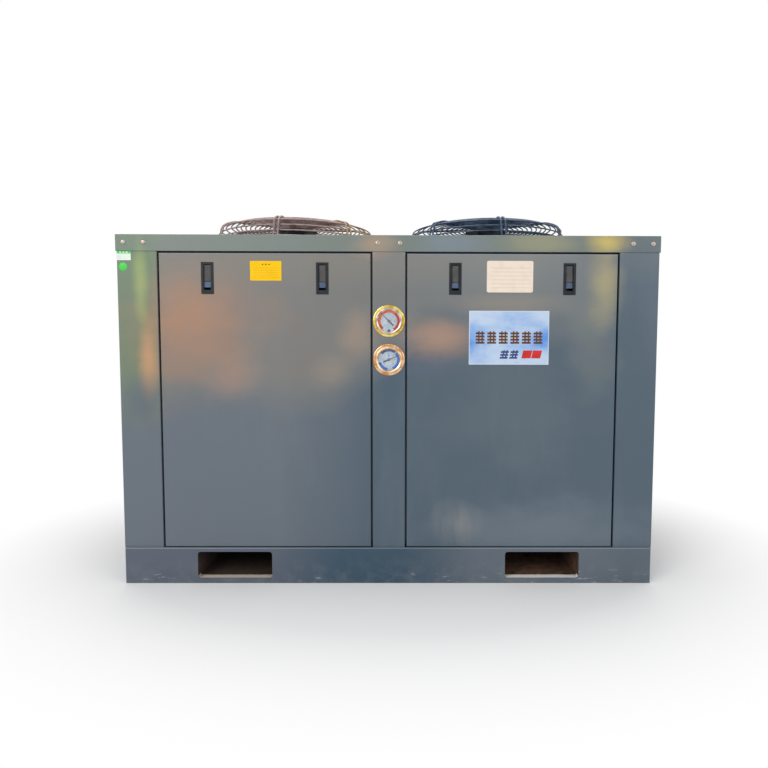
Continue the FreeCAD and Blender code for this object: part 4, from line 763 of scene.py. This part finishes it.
RIB_PAIRS = 7
RIB_GAP = 13 * MM
RIB_BEND = 12 * MM
RIB_FOOT = 1.5 * MM
RIB_END = 0.060
GUARD_TURN = 3.9


def beside(line, away):
    """The corners of a line that runs beside another one, on its outer side."""
    normals = []
    for (r0, h0), (r1, h1) in zip(line, line[1:]):
        length = math.hypot(r1 - r0, h1 - h0)
        normals.append(((h0 - h1) / length, (r1 - r0) / length))
    corners = []
    for i, (radius, height) in enumerate(line):
        before, after = normals[max(i - 1, 0)], normals[min(i, len(normals) - 1)]
        reach = away / (1 + before[0] * after[0] + before[1] * after[1])
        out, up = (reach * (a + b) for a, b in zip(before, after))
        corners.append((radius + out, height + up))
    return corners


rib_line = beside(SLOPE, RING_WIRE + RIB_WIRE)[::-1]
rib_line[0] = (rib_line[0][0], RIB_FOOT)
rib_line[-1] = (RIB_END, rib_line[-1][1])
ribs = []
for pair in range(RIB_PAIRS):
    for side in (-1, 1):
        rib = bent_wire(
            f"rib_{pair}_{side}",
            [(r, side * RIB_GAP / 2, ROOF_Z + h) for r, h in rib_line],
            RIB_WIRE, RIB_BEND,
        )
        rib.rotation_euler[2] = math.radians(360 / RIB_PAIRS * pair - 90 - GUARD_TURN)
        ribs.append(settled(rib))
ribs = smooth(merged(ribs, "guard_ribs"), 60)
guard = merged([rings, ribs], "guard_left")
turn = math.radians(2 * GUARD_TURN)
guard_right = copied(guard, "guard_right", (FAN_X, 0, 0), (0, 0, turn))
guard.location = (-FAN_X, 0, 0)
settled(guard)
for piece, side in ((guard, "left"), (guard_right, "right")):
    dressed(piece, guard_black, "cabinet")
    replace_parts(piece, f"fan_guard_{side}")
print("guard:", len(guard.data.polygons), "faces")

# %% [markdown]
# The condenser coil is a U of thin aluminium fins, each pressed over the copper tubes that cross
# them. One fin is modelled with its corrugations. An Array modifier repeats it along the side, a
# spin with copies takes it round the corner, and a mirror makes the other side. A second Array goes
# along the whole back, so that its fins all lean the same way.

# %% Coil fins
COIL_X = 0.738
COIL_Y = 0.368
COIL_THICK = 0.066
COIL_CORNER = 0.150
COIL_LOW = 0.1025
COIL_HIGH = 0.972
COIL_FRONT = -0.246
FIN_PITCH = 3 * MM
FIN_SHEET = 0.25 * MM
RIPPLE = 1.3 * MM

fins = started("coil_fins", bpy.ops.mesh.primitive_cube_add, size=1)
fins.scale = (COIL_THICK - 0.2 * MM, FIN_SHEET, COIL_HIGH - COIL_LOW)
fins.location = (-COIL_X + COIL_THICK / 2, COIL_FRONT + FIN_PITCH, (COIL_LOW + COIL_HIGH) / 2)
settled(fins)
mesh = edit(fins)
bpy.ops.mesh.select_mode(type="EDGE")
bpy.ops.mesh.select_all(action="DESELECT")
for edge in mesh.edges:
    if abs(edge.verts[0].co.x - edge.verts[1].co.x) > COIL_THICK / 2:
        edge.select_set(True)
mesh.select_flush_mode()
bpy.ops.mesh.subdivide(number_cuts=5)
mesh = bmesh.from_edit_mesh(fins.data)
columns = sorted({round(v.co.x, 5) for v in mesh.verts})
for vert in mesh.verts:
    column = columns.index(round(vert.co.x, 5))
    vert.co.y += RIPPLE * (1 if column % 2 else -1)
bmesh.update_edit_mesh(fins.data)
leave()


def repeated(piece, count, step):
    """Stands copies of a piece in a row."""
    return applied(
        piece, "ARRAY", count=count, use_relative_offset=False, use_constant_offset=True,
        constant_offset_displace=step,
    )


corner_y = COIL_Y - COIL_CORNER
corner_x = -COIL_X + COIL_CORNER
side_count = int((corner_y - COIL_FRONT) / FIN_PITCH) - 1
back_count = int(-2 * corner_x / FIN_PITCH) - 1
corner_count = int(math.pi / 2 * (COIL_CORNER - COIL_THICK / 2) / FIN_PITCH)
bend = copied(fins, "coil_corner", (0, corner_y - COIL_FRONT - FIN_PITCH, 0))
edit(bend)
every()
bpy.ops.mesh.spin(
    steps=corner_count, angle=math.pi / 2, dupli=True, center=(corner_x, corner_y, 0),
    axis=(0, 0, 1),
)
leave()
back = copied(fins, "coil_back", turn=(0, 0, -math.pi / 2))
mesh = edit(back)
low = Vector([min(v.co[i] for v in mesh.verts) for i in range(3)])
every()
bpy.ops.transform.translate(value=(corner_x + FIN_PITCH - low.x, COIL_Y - COIL_THICK - low.y, 0))
leave()
repeated(fins, side_count, (0, FIN_PITCH, 0))
repeated(back, back_count, (FIN_PITCH, 0, 0))
fins = applied(merged([fins, bend], "coil_sides"), "MIRROR", use_mirror_merge=False)
fins = merged([fins, back], "coil_fins")
dressed(fins, fin_aluminium, "cabinet")
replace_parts(fins, "condenser_fins")
count = 2 * (side_count + corner_count + 1) + back_count
print("fins:", len(fins.data.polygons), "faces in", count)

# %% [markdown]
# Between the fins the tubes glint. Each is one long U of copper, bent from a curve, and an Array
# modifier stacks it to the height of the coil. Three columns stand one behind another, staggered.

# %% Coil tubes
TUBE_RADIUS = 4.8 * MM
TUBE_STEP = 25 * MM
TUBE_COUNT = 34
LOWEST_TUBE = COIL_LOW + 15 * MM
columns = []
for i in range(3):
    depth = COIL_THICK / 3 * (i + 0.5)
    x, y = COIL_X - depth, COIL_Y - depth
    z = LOWEST_TUBE + (TUBE_STEP / 2 if i == 1 else 0)
    tube = bent_wire(
        f"coil_tube_{i}",
        [(-x, COIL_FRONT, z), (-x, y, z), (x, y, z), (x, COIL_FRONT, z)],
        TUBE_RADIUS, COIL_CORNER - depth,
    )
    columns.append(repeated(tube, TUBE_COUNT, (0, 0, TUBE_STEP)))
tubes = smooth(merged(columns, "coil_tubes"), 60)
dressed(tubes, copper, "cabinet")
print("tubes:", len(tubes.data.polygons), "faces")

# %% [markdown]
# A gauge's rim is pressed sheet: a flat flange with a rolled edge, and a crimped ring that holds
# the window. The CAD model has them with plain edges, so they are spun again here from rounded
# sections, with the cup behind them.

# %% Gauge rims
GAUGES = {"high": 0.742, "low": 0.635}
FLANGE = [
    (37.6, 0.0), (44.0, 0.0), (44.0, 1.0), (43.7, 1.6), (43.0, 1.95), (42.0, 2.0), (40.0, 1.9),
    (38.6, 1.9), (37.6, 1.9),
]
BEZEL = [
    (31.4, 5.6), (35.5, 5.6), (35.5, 0.2), (37.5, 0.2), (37.5, 4.4), (37.3, 5.4), (36.7, 6.3),
    (35.8, 6.8), (34.7, 7.0), (33.6, 6.8), (32.4, 6.3), (31.4, 5.9),
]
CUP = [
    (0.0, -46.0), (7.0, -46.0), (7.0, -28.0), (31.0, -28.0), (31.8, -27.2), (32.0, -26.0),
    (32.0, 3.0), (30.4, 3.0), (30.4, -1.8), (28.8, -1.8), (28.8, -26.4), (1.2, -26.4), (1.2, 1.0),
    (0.0, 1.0),
]
UPRIGHT = math.pi / 2


def lathed(name, section, z, x=0.0, steps=96):
    """A round piece turned on the ground, then stood up to face the front in its place."""
    piece = turned(name, [[(r * MM, h * MM) for r, h in section]], steps)
    piece.rotation_euler = (UPRIGHT, 0, 0)
    piece.location = (x, FRONT_Y, z)
    settled(piece)
    return smooth(piece, 35)


RIMS = {
    "high": (gold_plate, silver_plate, "gold_plate"),
    "low": (copper_plate, cream_plate, "copper_plate"),
}
for name, z in GAUGES.items():
    flange_metal, bezel_metal, slot = RIMS[name]
    cup = dressed(lathed(f"gauge_{name}_cup", CUP, z), flange_metal, "cabinet")
    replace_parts(cup, f"gauge_case_{name}")
    dressed(lathed(f"gauge_{name}_flange", FLANGE, z), flange_metal, "cabinet")
    dressed(lathed(f"gauge_{name}_bezel", BEZEL, z), bezel_metal, "cabinet")

# %% [markdown]
# Screws hold the roof's skirt, the posts and the gauges. A head is spun, and a Boolean modifier
# takes the cross-shaped recess out of it, which is simpler than cutting the dome face by face. Each
# size is modelled once and copied, and the copies of a row are turned unevenly, as real ones are.

# %% Screws
HEAD = [(0.0, 0.0), (6.5, 0.0), (6.5, 0.7), (6.1, 1.3), (5.0, 1.9), (3.2, 2.4), (0.0, 2.6)]


def screw_head(name, size):
    """A domed head with a cross recess, lying on the ground, its size a share of the roof's."""
    head = turned(name, [[(r * MM * size, h * MM * size) for r, h in HEAD]], 32)
    arms = []
    for wide, deep in ((5.6, 1.0), (1.0, 5.6)):
        arm = started("arm", bpy.ops.mesh.primitive_cube_add, size=1)
        arm.scale = (wide * MM * size, deep * MM * size, 3 * MM * size)
        arm.location = (0, 0, 2.9 * MM * size)
        arms.append(settled(arm))
    cross = merged(arms, "cross")
    applied(head, "BOOLEAN", operation="DIFFERENCE", object=cross, use_self=True)
    bpy.data.objects.remove(cross)
    return smooth(head, 35)


def screw_set(name, size, places, metal):
    """Heads at their places: each has a point, a spin and the way that it faces."""
    head = screw_head("head", size)
    screws = [copied(head, "screw", point, (UPRIGHT, spin, way)) for point, spin, way in places]
    bpy.data.objects.remove(head)
    return dressed(merged(screws, name), metal, "cabinet")


SKIRT_Y = -0.380
SKIRT_SCREW_X = (0.031, 0.673, 0.728)
SKIRT_SCREW_Z = 0.955
places = [
    ((side * x, SKIRT_Y, SKIRT_SCREW_Z), 0.5 * i, 0)
    for side in (-1, 1) for i, x in enumerate(SKIRT_SCREW_X)
]
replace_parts(screw_set("skirt_screws", 1.0, places, screw_zinc), "roof_screws")

# Across, depth, and the way they face as a share of half a turn.
POST_SCREWS = [(0.7475, -0.268, 0.5), (0.7475, 0.3475, 0.5), (0.7175, 0.3775, 1.0)]
POST_SCREW_Z = (0.160, 0.500, 0.840)
places = [
    ((side * x, y, z), 0.4 * i, side * way * math.pi)
    for side in (-1, 1) for x, y, way in POST_SCREWS for i, z in enumerate(POST_SCREW_Z)
]
screw_set("post_screws", 0.8, places, screw_zinc)

FLANGE_FRONT = FRONT_Y - 1.9 * MM
SCREW_CIRCLE = 40.5 * MM
SCREW_CLOCK = (90, 210, 330)
for name, z in GAUGES.items():
    places = []
    for i, angle in enumerate(math.radians(a) for a in SCREW_CLOCK):
        x, up = SCREW_CIRCLE * math.cos(angle), SCREW_CIRCLE * math.sin(angle)
        places.append(((x, FLANGE_FRONT, z + up), 0.7 * i, 0))
    screw_set(f"gauge_{name}_screws", 0.42, places, brass)
print("screw heads are in place")

# %% [markdown]
# Labels are thin plates with rounded corners. A painted patch would have no edge, so each is a
# piece of its own: a plane whose corners are bevelled and which is then given its thickness.
# Nothing is written on them. Rows of plain raised bars give them the look of print.


# %% Label plates
INK = 0.16 * MM


def plate(name, box, back, thick, corner):
    """A thin upright plate with round corners, in front of its back plane."""
    left, right, low, high = box
    piece = started(name, bpy.ops.mesh.primitive_plane_add, size=1, rotation=(UPRIGHT, 0, 0))
    piece.scale = (right - left, high - low, 1)
    piece.location = ((left + right) / 2, back, (low + high) / 2)
    settled(piece)
    edit(piece)
    bpy.ops.mesh.select_mode(type="VERT")
    every()
    bpy.ops.mesh.bevel(offset=corner, segments=5, affect="VERTICES")
    every()
    bpy.ops.mesh.extrude_region_move(TRANSFORM_OT_translate={"value": (0, -thick, 0)})
    every()
    bpy.ops.mesh.normals_make_consistent(inside=False)
    leave()
    return piece


def printed(name, box, level, corner=0.4 * MM):
    """A bar of ink, half sunk into the face of a label that stands this far off the sheet."""
    return plate(name, box, FRONT_Y - level + INK / 2, INK, corner)


def bars(left, right, low, step, count, tall, level, corner=0.3 * MM, short=0.0):
    """Bars at even heights, of which every second one may be shorter."""
    row = []
    for i in range(count):
        foot = low + step * i
        box = (left, right - short * (i % 2), foot, foot + tall)
        row.append(printed("bar", box, level, corner))
    return row


def stuck(piece, material, body):
    """Dresses a label or its print, which belong to the painted sheet behind them."""
    return dressed(piece, material, body)


def ink(name, light, dark, ior=1.45, level=0.45):
    """A printed or plain label surface with faint wear."""
    def recipe(place):
        wear = mask(noise(place, 60, 4, 0.6), 0.45, 0.8)
        return look(mix(wear, light, dark), level + wear * 0.2)

    return finish(name, recipe, IOR=ior)


yellow_paper = ink("yellow_paper", (244, 194, 0), (238, 184, 0), 1.25)
cream_metal = ink("cream_metal", (232, 217, 201), (222, 206, 190), level=0.35)
white_paper = ink("white_paper", (226, 232, 228), (208, 218, 212))
green_paper = ink("green_paper", (62, 202, 70), (58, 184, 62))
pale_ink = ink("pale_ink", (178, 214, 184), (170, 204, 176))
faint_ink = ink("faint_ink", (196, 178, 160), (186, 168, 150))
amber_ink = ink("amber_ink", (214, 158, 22), (204, 150, 20))
brown_ink = ink("brown_ink", (98, 62, 30), (72, 42, 22), 1.3)
navy_ink = ink("navy_ink", (46, 62, 112), (40, 54, 98))
red_ink = ink("red_ink", (204, 36, 26), (170, 26, 22))
sky_ink = ink("sky_ink", (84, 172, 214), (76, 160, 204))

# %% [markdown]
# A yellow label and a light nameplate sit on the doors and move with them. A small check label and
# a round dot sit on the left post. The paper labels are thinner than the metal nameplate.

# %% Labels
PAPER = 0.2 * MM
NAMEPLATE = 0.5 * MM
yellow = plate("label_yellow", (-0.3820, -0.2960, 0.8522, 0.9055), FRONT_Y, PAPER, 1 * MM)
stuck(yellow, yellow_paper, "door_left")
marks = [
    printed("mark", (x, x + 0.0036, 0.8945, 0.8980), PAPER) for x in (-0.3495, -0.3405, -0.3315)
]
stuck(merged(marks, "label_yellow_marks"), brown_ink, "door_left")
lines = bars(-0.3735, -0.302, 0.886, -0.0065, 5, 0.0009, PAPER, short=0.006)
stuck(merged(lines, "label_yellow_bars"), amber_ink, "door_left")

nameplate = plate("nameplate", (0.2705, 0.3985, 0.8215, 0.908), FRONT_Y, NAMEPLATE, 5 * MM)
stuck(nameplate, cream_metal, "door_right")
lines = bars(0.281, 0.393, 0.888, -0.0108, 6, 0.0008, NAMEPLATE)
stuck(merged(lines, "nameplate_bars"), faint_ink, "door_right")

CHECK_SIDES = (-0.746, -0.7085)
CHECK_TOP = 0.9315
check_label = plate("check_label", (*CHECK_SIDES, 0.9066, CHECK_TOP), FRONT_Y, PAPER, 0.8 * MM)
stuck(check_label, white_paper, "cabinet")
head_strip = printed("check_label_head", (*CHECK_SIDES, 0.9245, CHECK_TOP), PAPER)
stuck(head_strip, green_paper, "cabinet")
lines = bars(-0.743, -0.7115, 0.9115, 0.0044, 3, 0.0008, PAPER, 0.2 * MM)
stuck(merged(lines, "check_label_lines"), pale_ink, "cabinet")
squares = [
    printed("square", (x, x + 0.0042, 0.9262, 0.9298), PAPER + INK, 0.3 * MM)
    for x in (-0.739, -0.730, -0.721)
]
stuck(merged(squares, "check_label_squares"), white_paper, "cabinet")
DOT = [(0.0, 0.0), (11.0, 0.0), (11.0, 0.15), (10.8, 0.25), (0.0, 0.25)]
DOT_X, DOT_Z = -0.7302, 0.8890
stuck(lathed("green_dot", DOT, DOT_Z, DOT_X, steps=48), green_paper, "cabinet")
print("the labels of the doors and the left post are in place")

# %% [markdown]
# The picture sticker shows a pale sky with a row of brown marks and a shorter row in navy and red.
# Each mark is a block of plain bars that says nothing. The sky could be an image, but noise mixed
# from white to blue stays sharp at any distance. It pales towards the sticker's edge.


# %% Sky sticker
STICKER_BOX = (0.2225, 0.4450, 0.6220, 0.7710)
FILM = 0.25 * MM


def printed_sky(place):
    across, depth, height = axes(place)
    left, right, low, high = STICKER_BOX
    cloud = noise(place, 11, 5, 0.6, stretch=(1, 1, 1.6))
    middle_band = mask(height, 0.745, 0.700) * mask(height, 0.640, 0.675)
    ends = mask(across, left + 0.030, left + 0.010) + mask(across, right - 0.060, right - 0.015)
    share = mask(cloud + middle_band * 0.10 + ends * middle_band * 0.16, 0.42, 0.86)
    shade = mix(share, (184, 203, 226), (86, 144, 216))
    edges = (across, left, 1), (across, right, -1), (height, low, 1), (height, high, -1)
    border = sum(mask(way, at + side * 3 * MM, at + side * 1.5 * MM) for way, at, side in edges)
    shade = mix(mask(border, 0, 1) * 0.8, shade, (206, 214, 226))
    return look(shade, 0.32 + cloud * 0.1)


sky_print = finish("sky_print", printed_sky, IOR=1.45)
stuck(plate("sticker", STICKER_BOX, FRONT_Y, FILM, 1 * MM), sky_print, "door_right")


def leaned(piece, low, high, lean):
    """Slides the upper corners of a piece sideways, so that it leans to the right."""
    mesh = edit(piece)
    for vert in mesh.verts:
        vert.co.x += lean * (vert.co.z - low) / (high - low)
    bmesh.update_edit_mesh(piece.data)
    leave()
    return piece


def bar_block(left, width, low, high, rows, lean=0.0):
    """A block of bars, one above another, crossed by two uprights, that reads as no letter."""
    step = (high - low) / rows
    pieces = bars(left, left + width, low, step, rows, step * 0.64, FILM, 0.4 * MM)
    for x in (left + width * 0.28, left + width * 0.66):
        box = (x, x + 3.8 * MM, low, high)
        pieces.append(printed("bar", box, FILM + 0.02 * MM))
    return leaned(merged(pieces, "block"), low, high, lean)


LEAN_OVER = 5 * MM
blocks = [bar_block(0.2412 + i * 0.0322, 0.0245, 0.6800, 0.7145, 4) for i in range(6)]
stuck(merged(blocks, "sticker_blocks"), brown_ink, "door_right")
blocks = [
    bar_block(0.3080 + i * 0.027, 0.0220, 0.6385, 0.6625, 3, LEAN_OVER) for i in range(2)
]
stuck(merged(blocks, "sticker_navy"), navy_ink, "door_right")
low, high = 0.6395, 0.6615
blocks = [
    leaned(printed("block", (x, x + 0.0255, low, high), FILM, 1 * MM), low, high, LEAN_OVER)
    for x in (0.3690, 0.3962)
]
stuck(merged(blocks, "sticker_red"), red_ink, "door_right")
print("the sticker is printed")

# %% [markdown]
# A dial's scale is printed: coloured bands, ticks and numbers. Each is a thin raised shape, so it
# keeps a crisp edge close up.

# %% Dial print
DIAL_FRONT = FRONT_Y + 1.0 * MM


def faced(piece, z, lift=0.06 * MM):
    """Turns a piece made flat on the ground to face the front, and puts it on a dial."""
    piece.rotation_euler = (UPRIGHT, 0, 0)
    piece.location = (0, DIAL_FRONT - lift, z)
    return settled(piece)


def band(name, inner, outer, start, end, z):
    """A flat arc between two clock angles in degrees, from the right and anticlockwise."""
    thick = 0.05 * MM
    section = [(inner, -thick), (outer, -thick), (outer, thick), (inner, thick)]
    arc = turned(name, [section], steps=int((end - start) / 3), sweep=end - start)
    arc.rotation_euler[2] = math.radians(start)
    settled(arc)
    return faced(arc, z)


def ticks(name, inner, outer, width, angles, z):
    marks = []
    for angle in angles:
        mark = started("tick", bpy.ops.mesh.primitive_cube_add, size=1)
        mark.scale = (outer - inner, width, 0.1 * MM)
        mark.location = ((inner + outer) / 2, 0, 0)
        settled(mark)
        mark.rotation_euler[2] = math.radians(angle)
        marks.append(settled(mark))
    return faced(merged(marks, name), z, 0.09 * MM)


def numbers(name, radius, size, values, start, step, z):
    words = []
    for i, value in enumerate(values):
        clear()
        bpy.ops.object.text_add()
        word = bpy.context.object
        word.data.body = str(value)
        word.data.size = size
        word.data.align_x = "CENTER"
        word.data.align_y = "CENTER"
        word.data.extrude = 0.05 * MM
        angle = math.radians(start + step * i)
        bpy.ops.object.convert(target="MESH")
        word = bpy.context.object
        word.location = (radius * math.cos(angle), radius * math.sin(angle), 0)
        words.append(settled(word))
    return faced(merged(words, name), z, 0.09 * MM)


orange_ink = ink("orange_ink", (216, 88, 24), (196, 68, 20), 1.2)
dial_red = ink("dial_red", (184, 14, 12), (156, 10, 10), 1.2)
blue_ink = ink("blue_ink", (0, 106, 200), (0, 90, 184), 1.2)
SCALE_START, SCALE_END, TICK_STEP, NUMBER_STEP = 225, -45, 9, 45
BAND_OUTER = 30.0 * MM
TICK_INNER, TICK_OUTER, TICK_WIDE = 20.4 * MM, 22.7 * MM, 0.5 * MM
NUMBER_RADIUS, NUMBER_SIZE = 16.7 * MM, 4.6 * MM
SCALES = {
    "high": (23.2 * MM, range(0, 35, 5), [
        (dial_red, -60, 50), (orange_ink, 50, 204), (dial_red, 204, 232), (navy_ink, 262, 279),
    ]),
    "low": (23.0 * MM, range(0, 14, 2), [
        (navy_ink, 50, 140), (blue_ink, -66, 44), (blue_ink, 196, 262),
    ]),
}
for name, (inner, values, bands) in SCALES.items():
    z = GAUGES[name]
    for i, (tone, start, end) in enumerate(bands):
        arc = band(f"dial_{name}_band_{i}", inner, BAND_OUTER, start, end, z)
        dressed(arc, tone, "cabinet")
    angles = range(SCALE_END, SCALE_START + 1, TICK_STEP)
    marks = ticks(f"dial_{name}_ticks", TICK_INNER, TICK_OUTER, TICK_WIDE, angles, z)
    dressed(marks, navy_ink, "cabinet")
    figures = numbers(f"dial_{name}_numbers", NUMBER_RADIUS, NUMBER_SIZE, values,
                      SCALE_START, -NUMBER_STEP, z)
    dressed(figures, navy_ink, "cabinet")
SPOT_RADIUS, SPOT_RISE = 3.6 * MM, 10.5 * MM
spot = started(
    "dial_low_spot", bpy.ops.mesh.primitive_cylinder_add, vertices=32, radius=SPOT_RADIUS,
    depth=0.1 * MM,
)
spot.location = (0, SPOT_RISE, 0)
dressed(faced(settled(spot), GAUGES["low"], 0.05 * MM), sky_ink, "cabinet")
print("two dials are printed")

# %% [markdown]
# The floor is pale and the light is soft, as in a studio: one wide lamp from the front left, a
# weaker one from the right, one above, and a world that lights evenly but looks white. A white
# backdrop would need a wall in every view. Instead the floor keeps the unit's shadow near it and
# turns into the white of the world further out, so that no horizon shows.

# %% Floor, lamps and world
clear()
bpy.ops.mesh.primitive_plane_add(size=24)
floor = bpy.context.object
floor.name = "floor"
floor_paint = bpy.data.materials.new("floor_paint")
floor_paint.use_nodes = True
net = floor_paint.node_tree
matt = net.nodes["Principled BSDF"]
matt.inputs["Base Color"].default_value = (0.9, 0.9, 0.9, 1)
matt.inputs["Roughness"].default_value = 0.9
floor.data.materials.append(floor_paint)


def seen_directly(net):
    """1 for what the camera sees, straight or in metal and glass, and 0 for light on the object."""
    ray = net.nodes.new("ShaderNodeLightPath")
    seen = Wire(ray.outputs["Is Camera Ray"])
    for other in ("Is Glossy Ray", "Is Transmission Ray"):
        seen = seen.maths("MAXIMUM", seen, Wire(ray.outputs[other]))
    return seen


seen = seen_directly(net)
across, depth, height = axes(Wire(net.nodes.new("ShaderNodeTexCoord").outputs["Object"]))
FLOOR_NEAR, FLOOR_FAR = 0.68, 1.12
open_floor = mask((across * 0.8).away(depth), FLOOR_NEAR, FLOOR_FAR)
plain = seen.node("ShaderNodeEmission", {}, {"Color": (1.0, 1.0, 1.0), "Strength": 1.0})
shaders = {0: open_floor * seen, 1: Wire(matt.outputs[0]), 2: plain}
feed(net.nodes["Material Output"].inputs["Surface"], seen.node("ShaderNodeMixShader", {}, shaders))

world = bpy.data.worlds.new("studio")
bpy.context.scene.world = world
world.use_nodes = True
background = world.node_tree.nodes["Background"]
WORLD_LIGHT = 0.50
seen = seen_directly(world.node_tree)
feed(background.inputs["Color"], (1.0, 1.0, 1.0))
feed(background.inputs["Strength"], WORLD_LIGHT + seen * (1 - WORLD_LIGHT))


def lamp(name, place, target, size, power):
    light = bpy.data.lights.new(name, "AREA")
    light.shape = "RECTANGLE"
    light.size, light.size_y = size
    light.energy = power
    item = bpy.data.objects.new(name, light)
    item.location = place
    item.rotation_euler = (Vector(target) - Vector(place)).to_track_quat("-Z", "Y").to_euler()
    bpy.context.scene.collection.objects.link(item)


lamp("key", (-2.4, -3.6, 2.6), (0, 0, 0.5), (2.4, 2.0), 84)
lamp("fill", (3.2, -3.2, 1.8), (0, 0, 0.5), (2.0, 2.0), 38)
lamp("top", (0, 0.4, 3.4), (0, 0, 0.5), (3.0, 2.0), 44)
print("floor, lamps and world are in place")
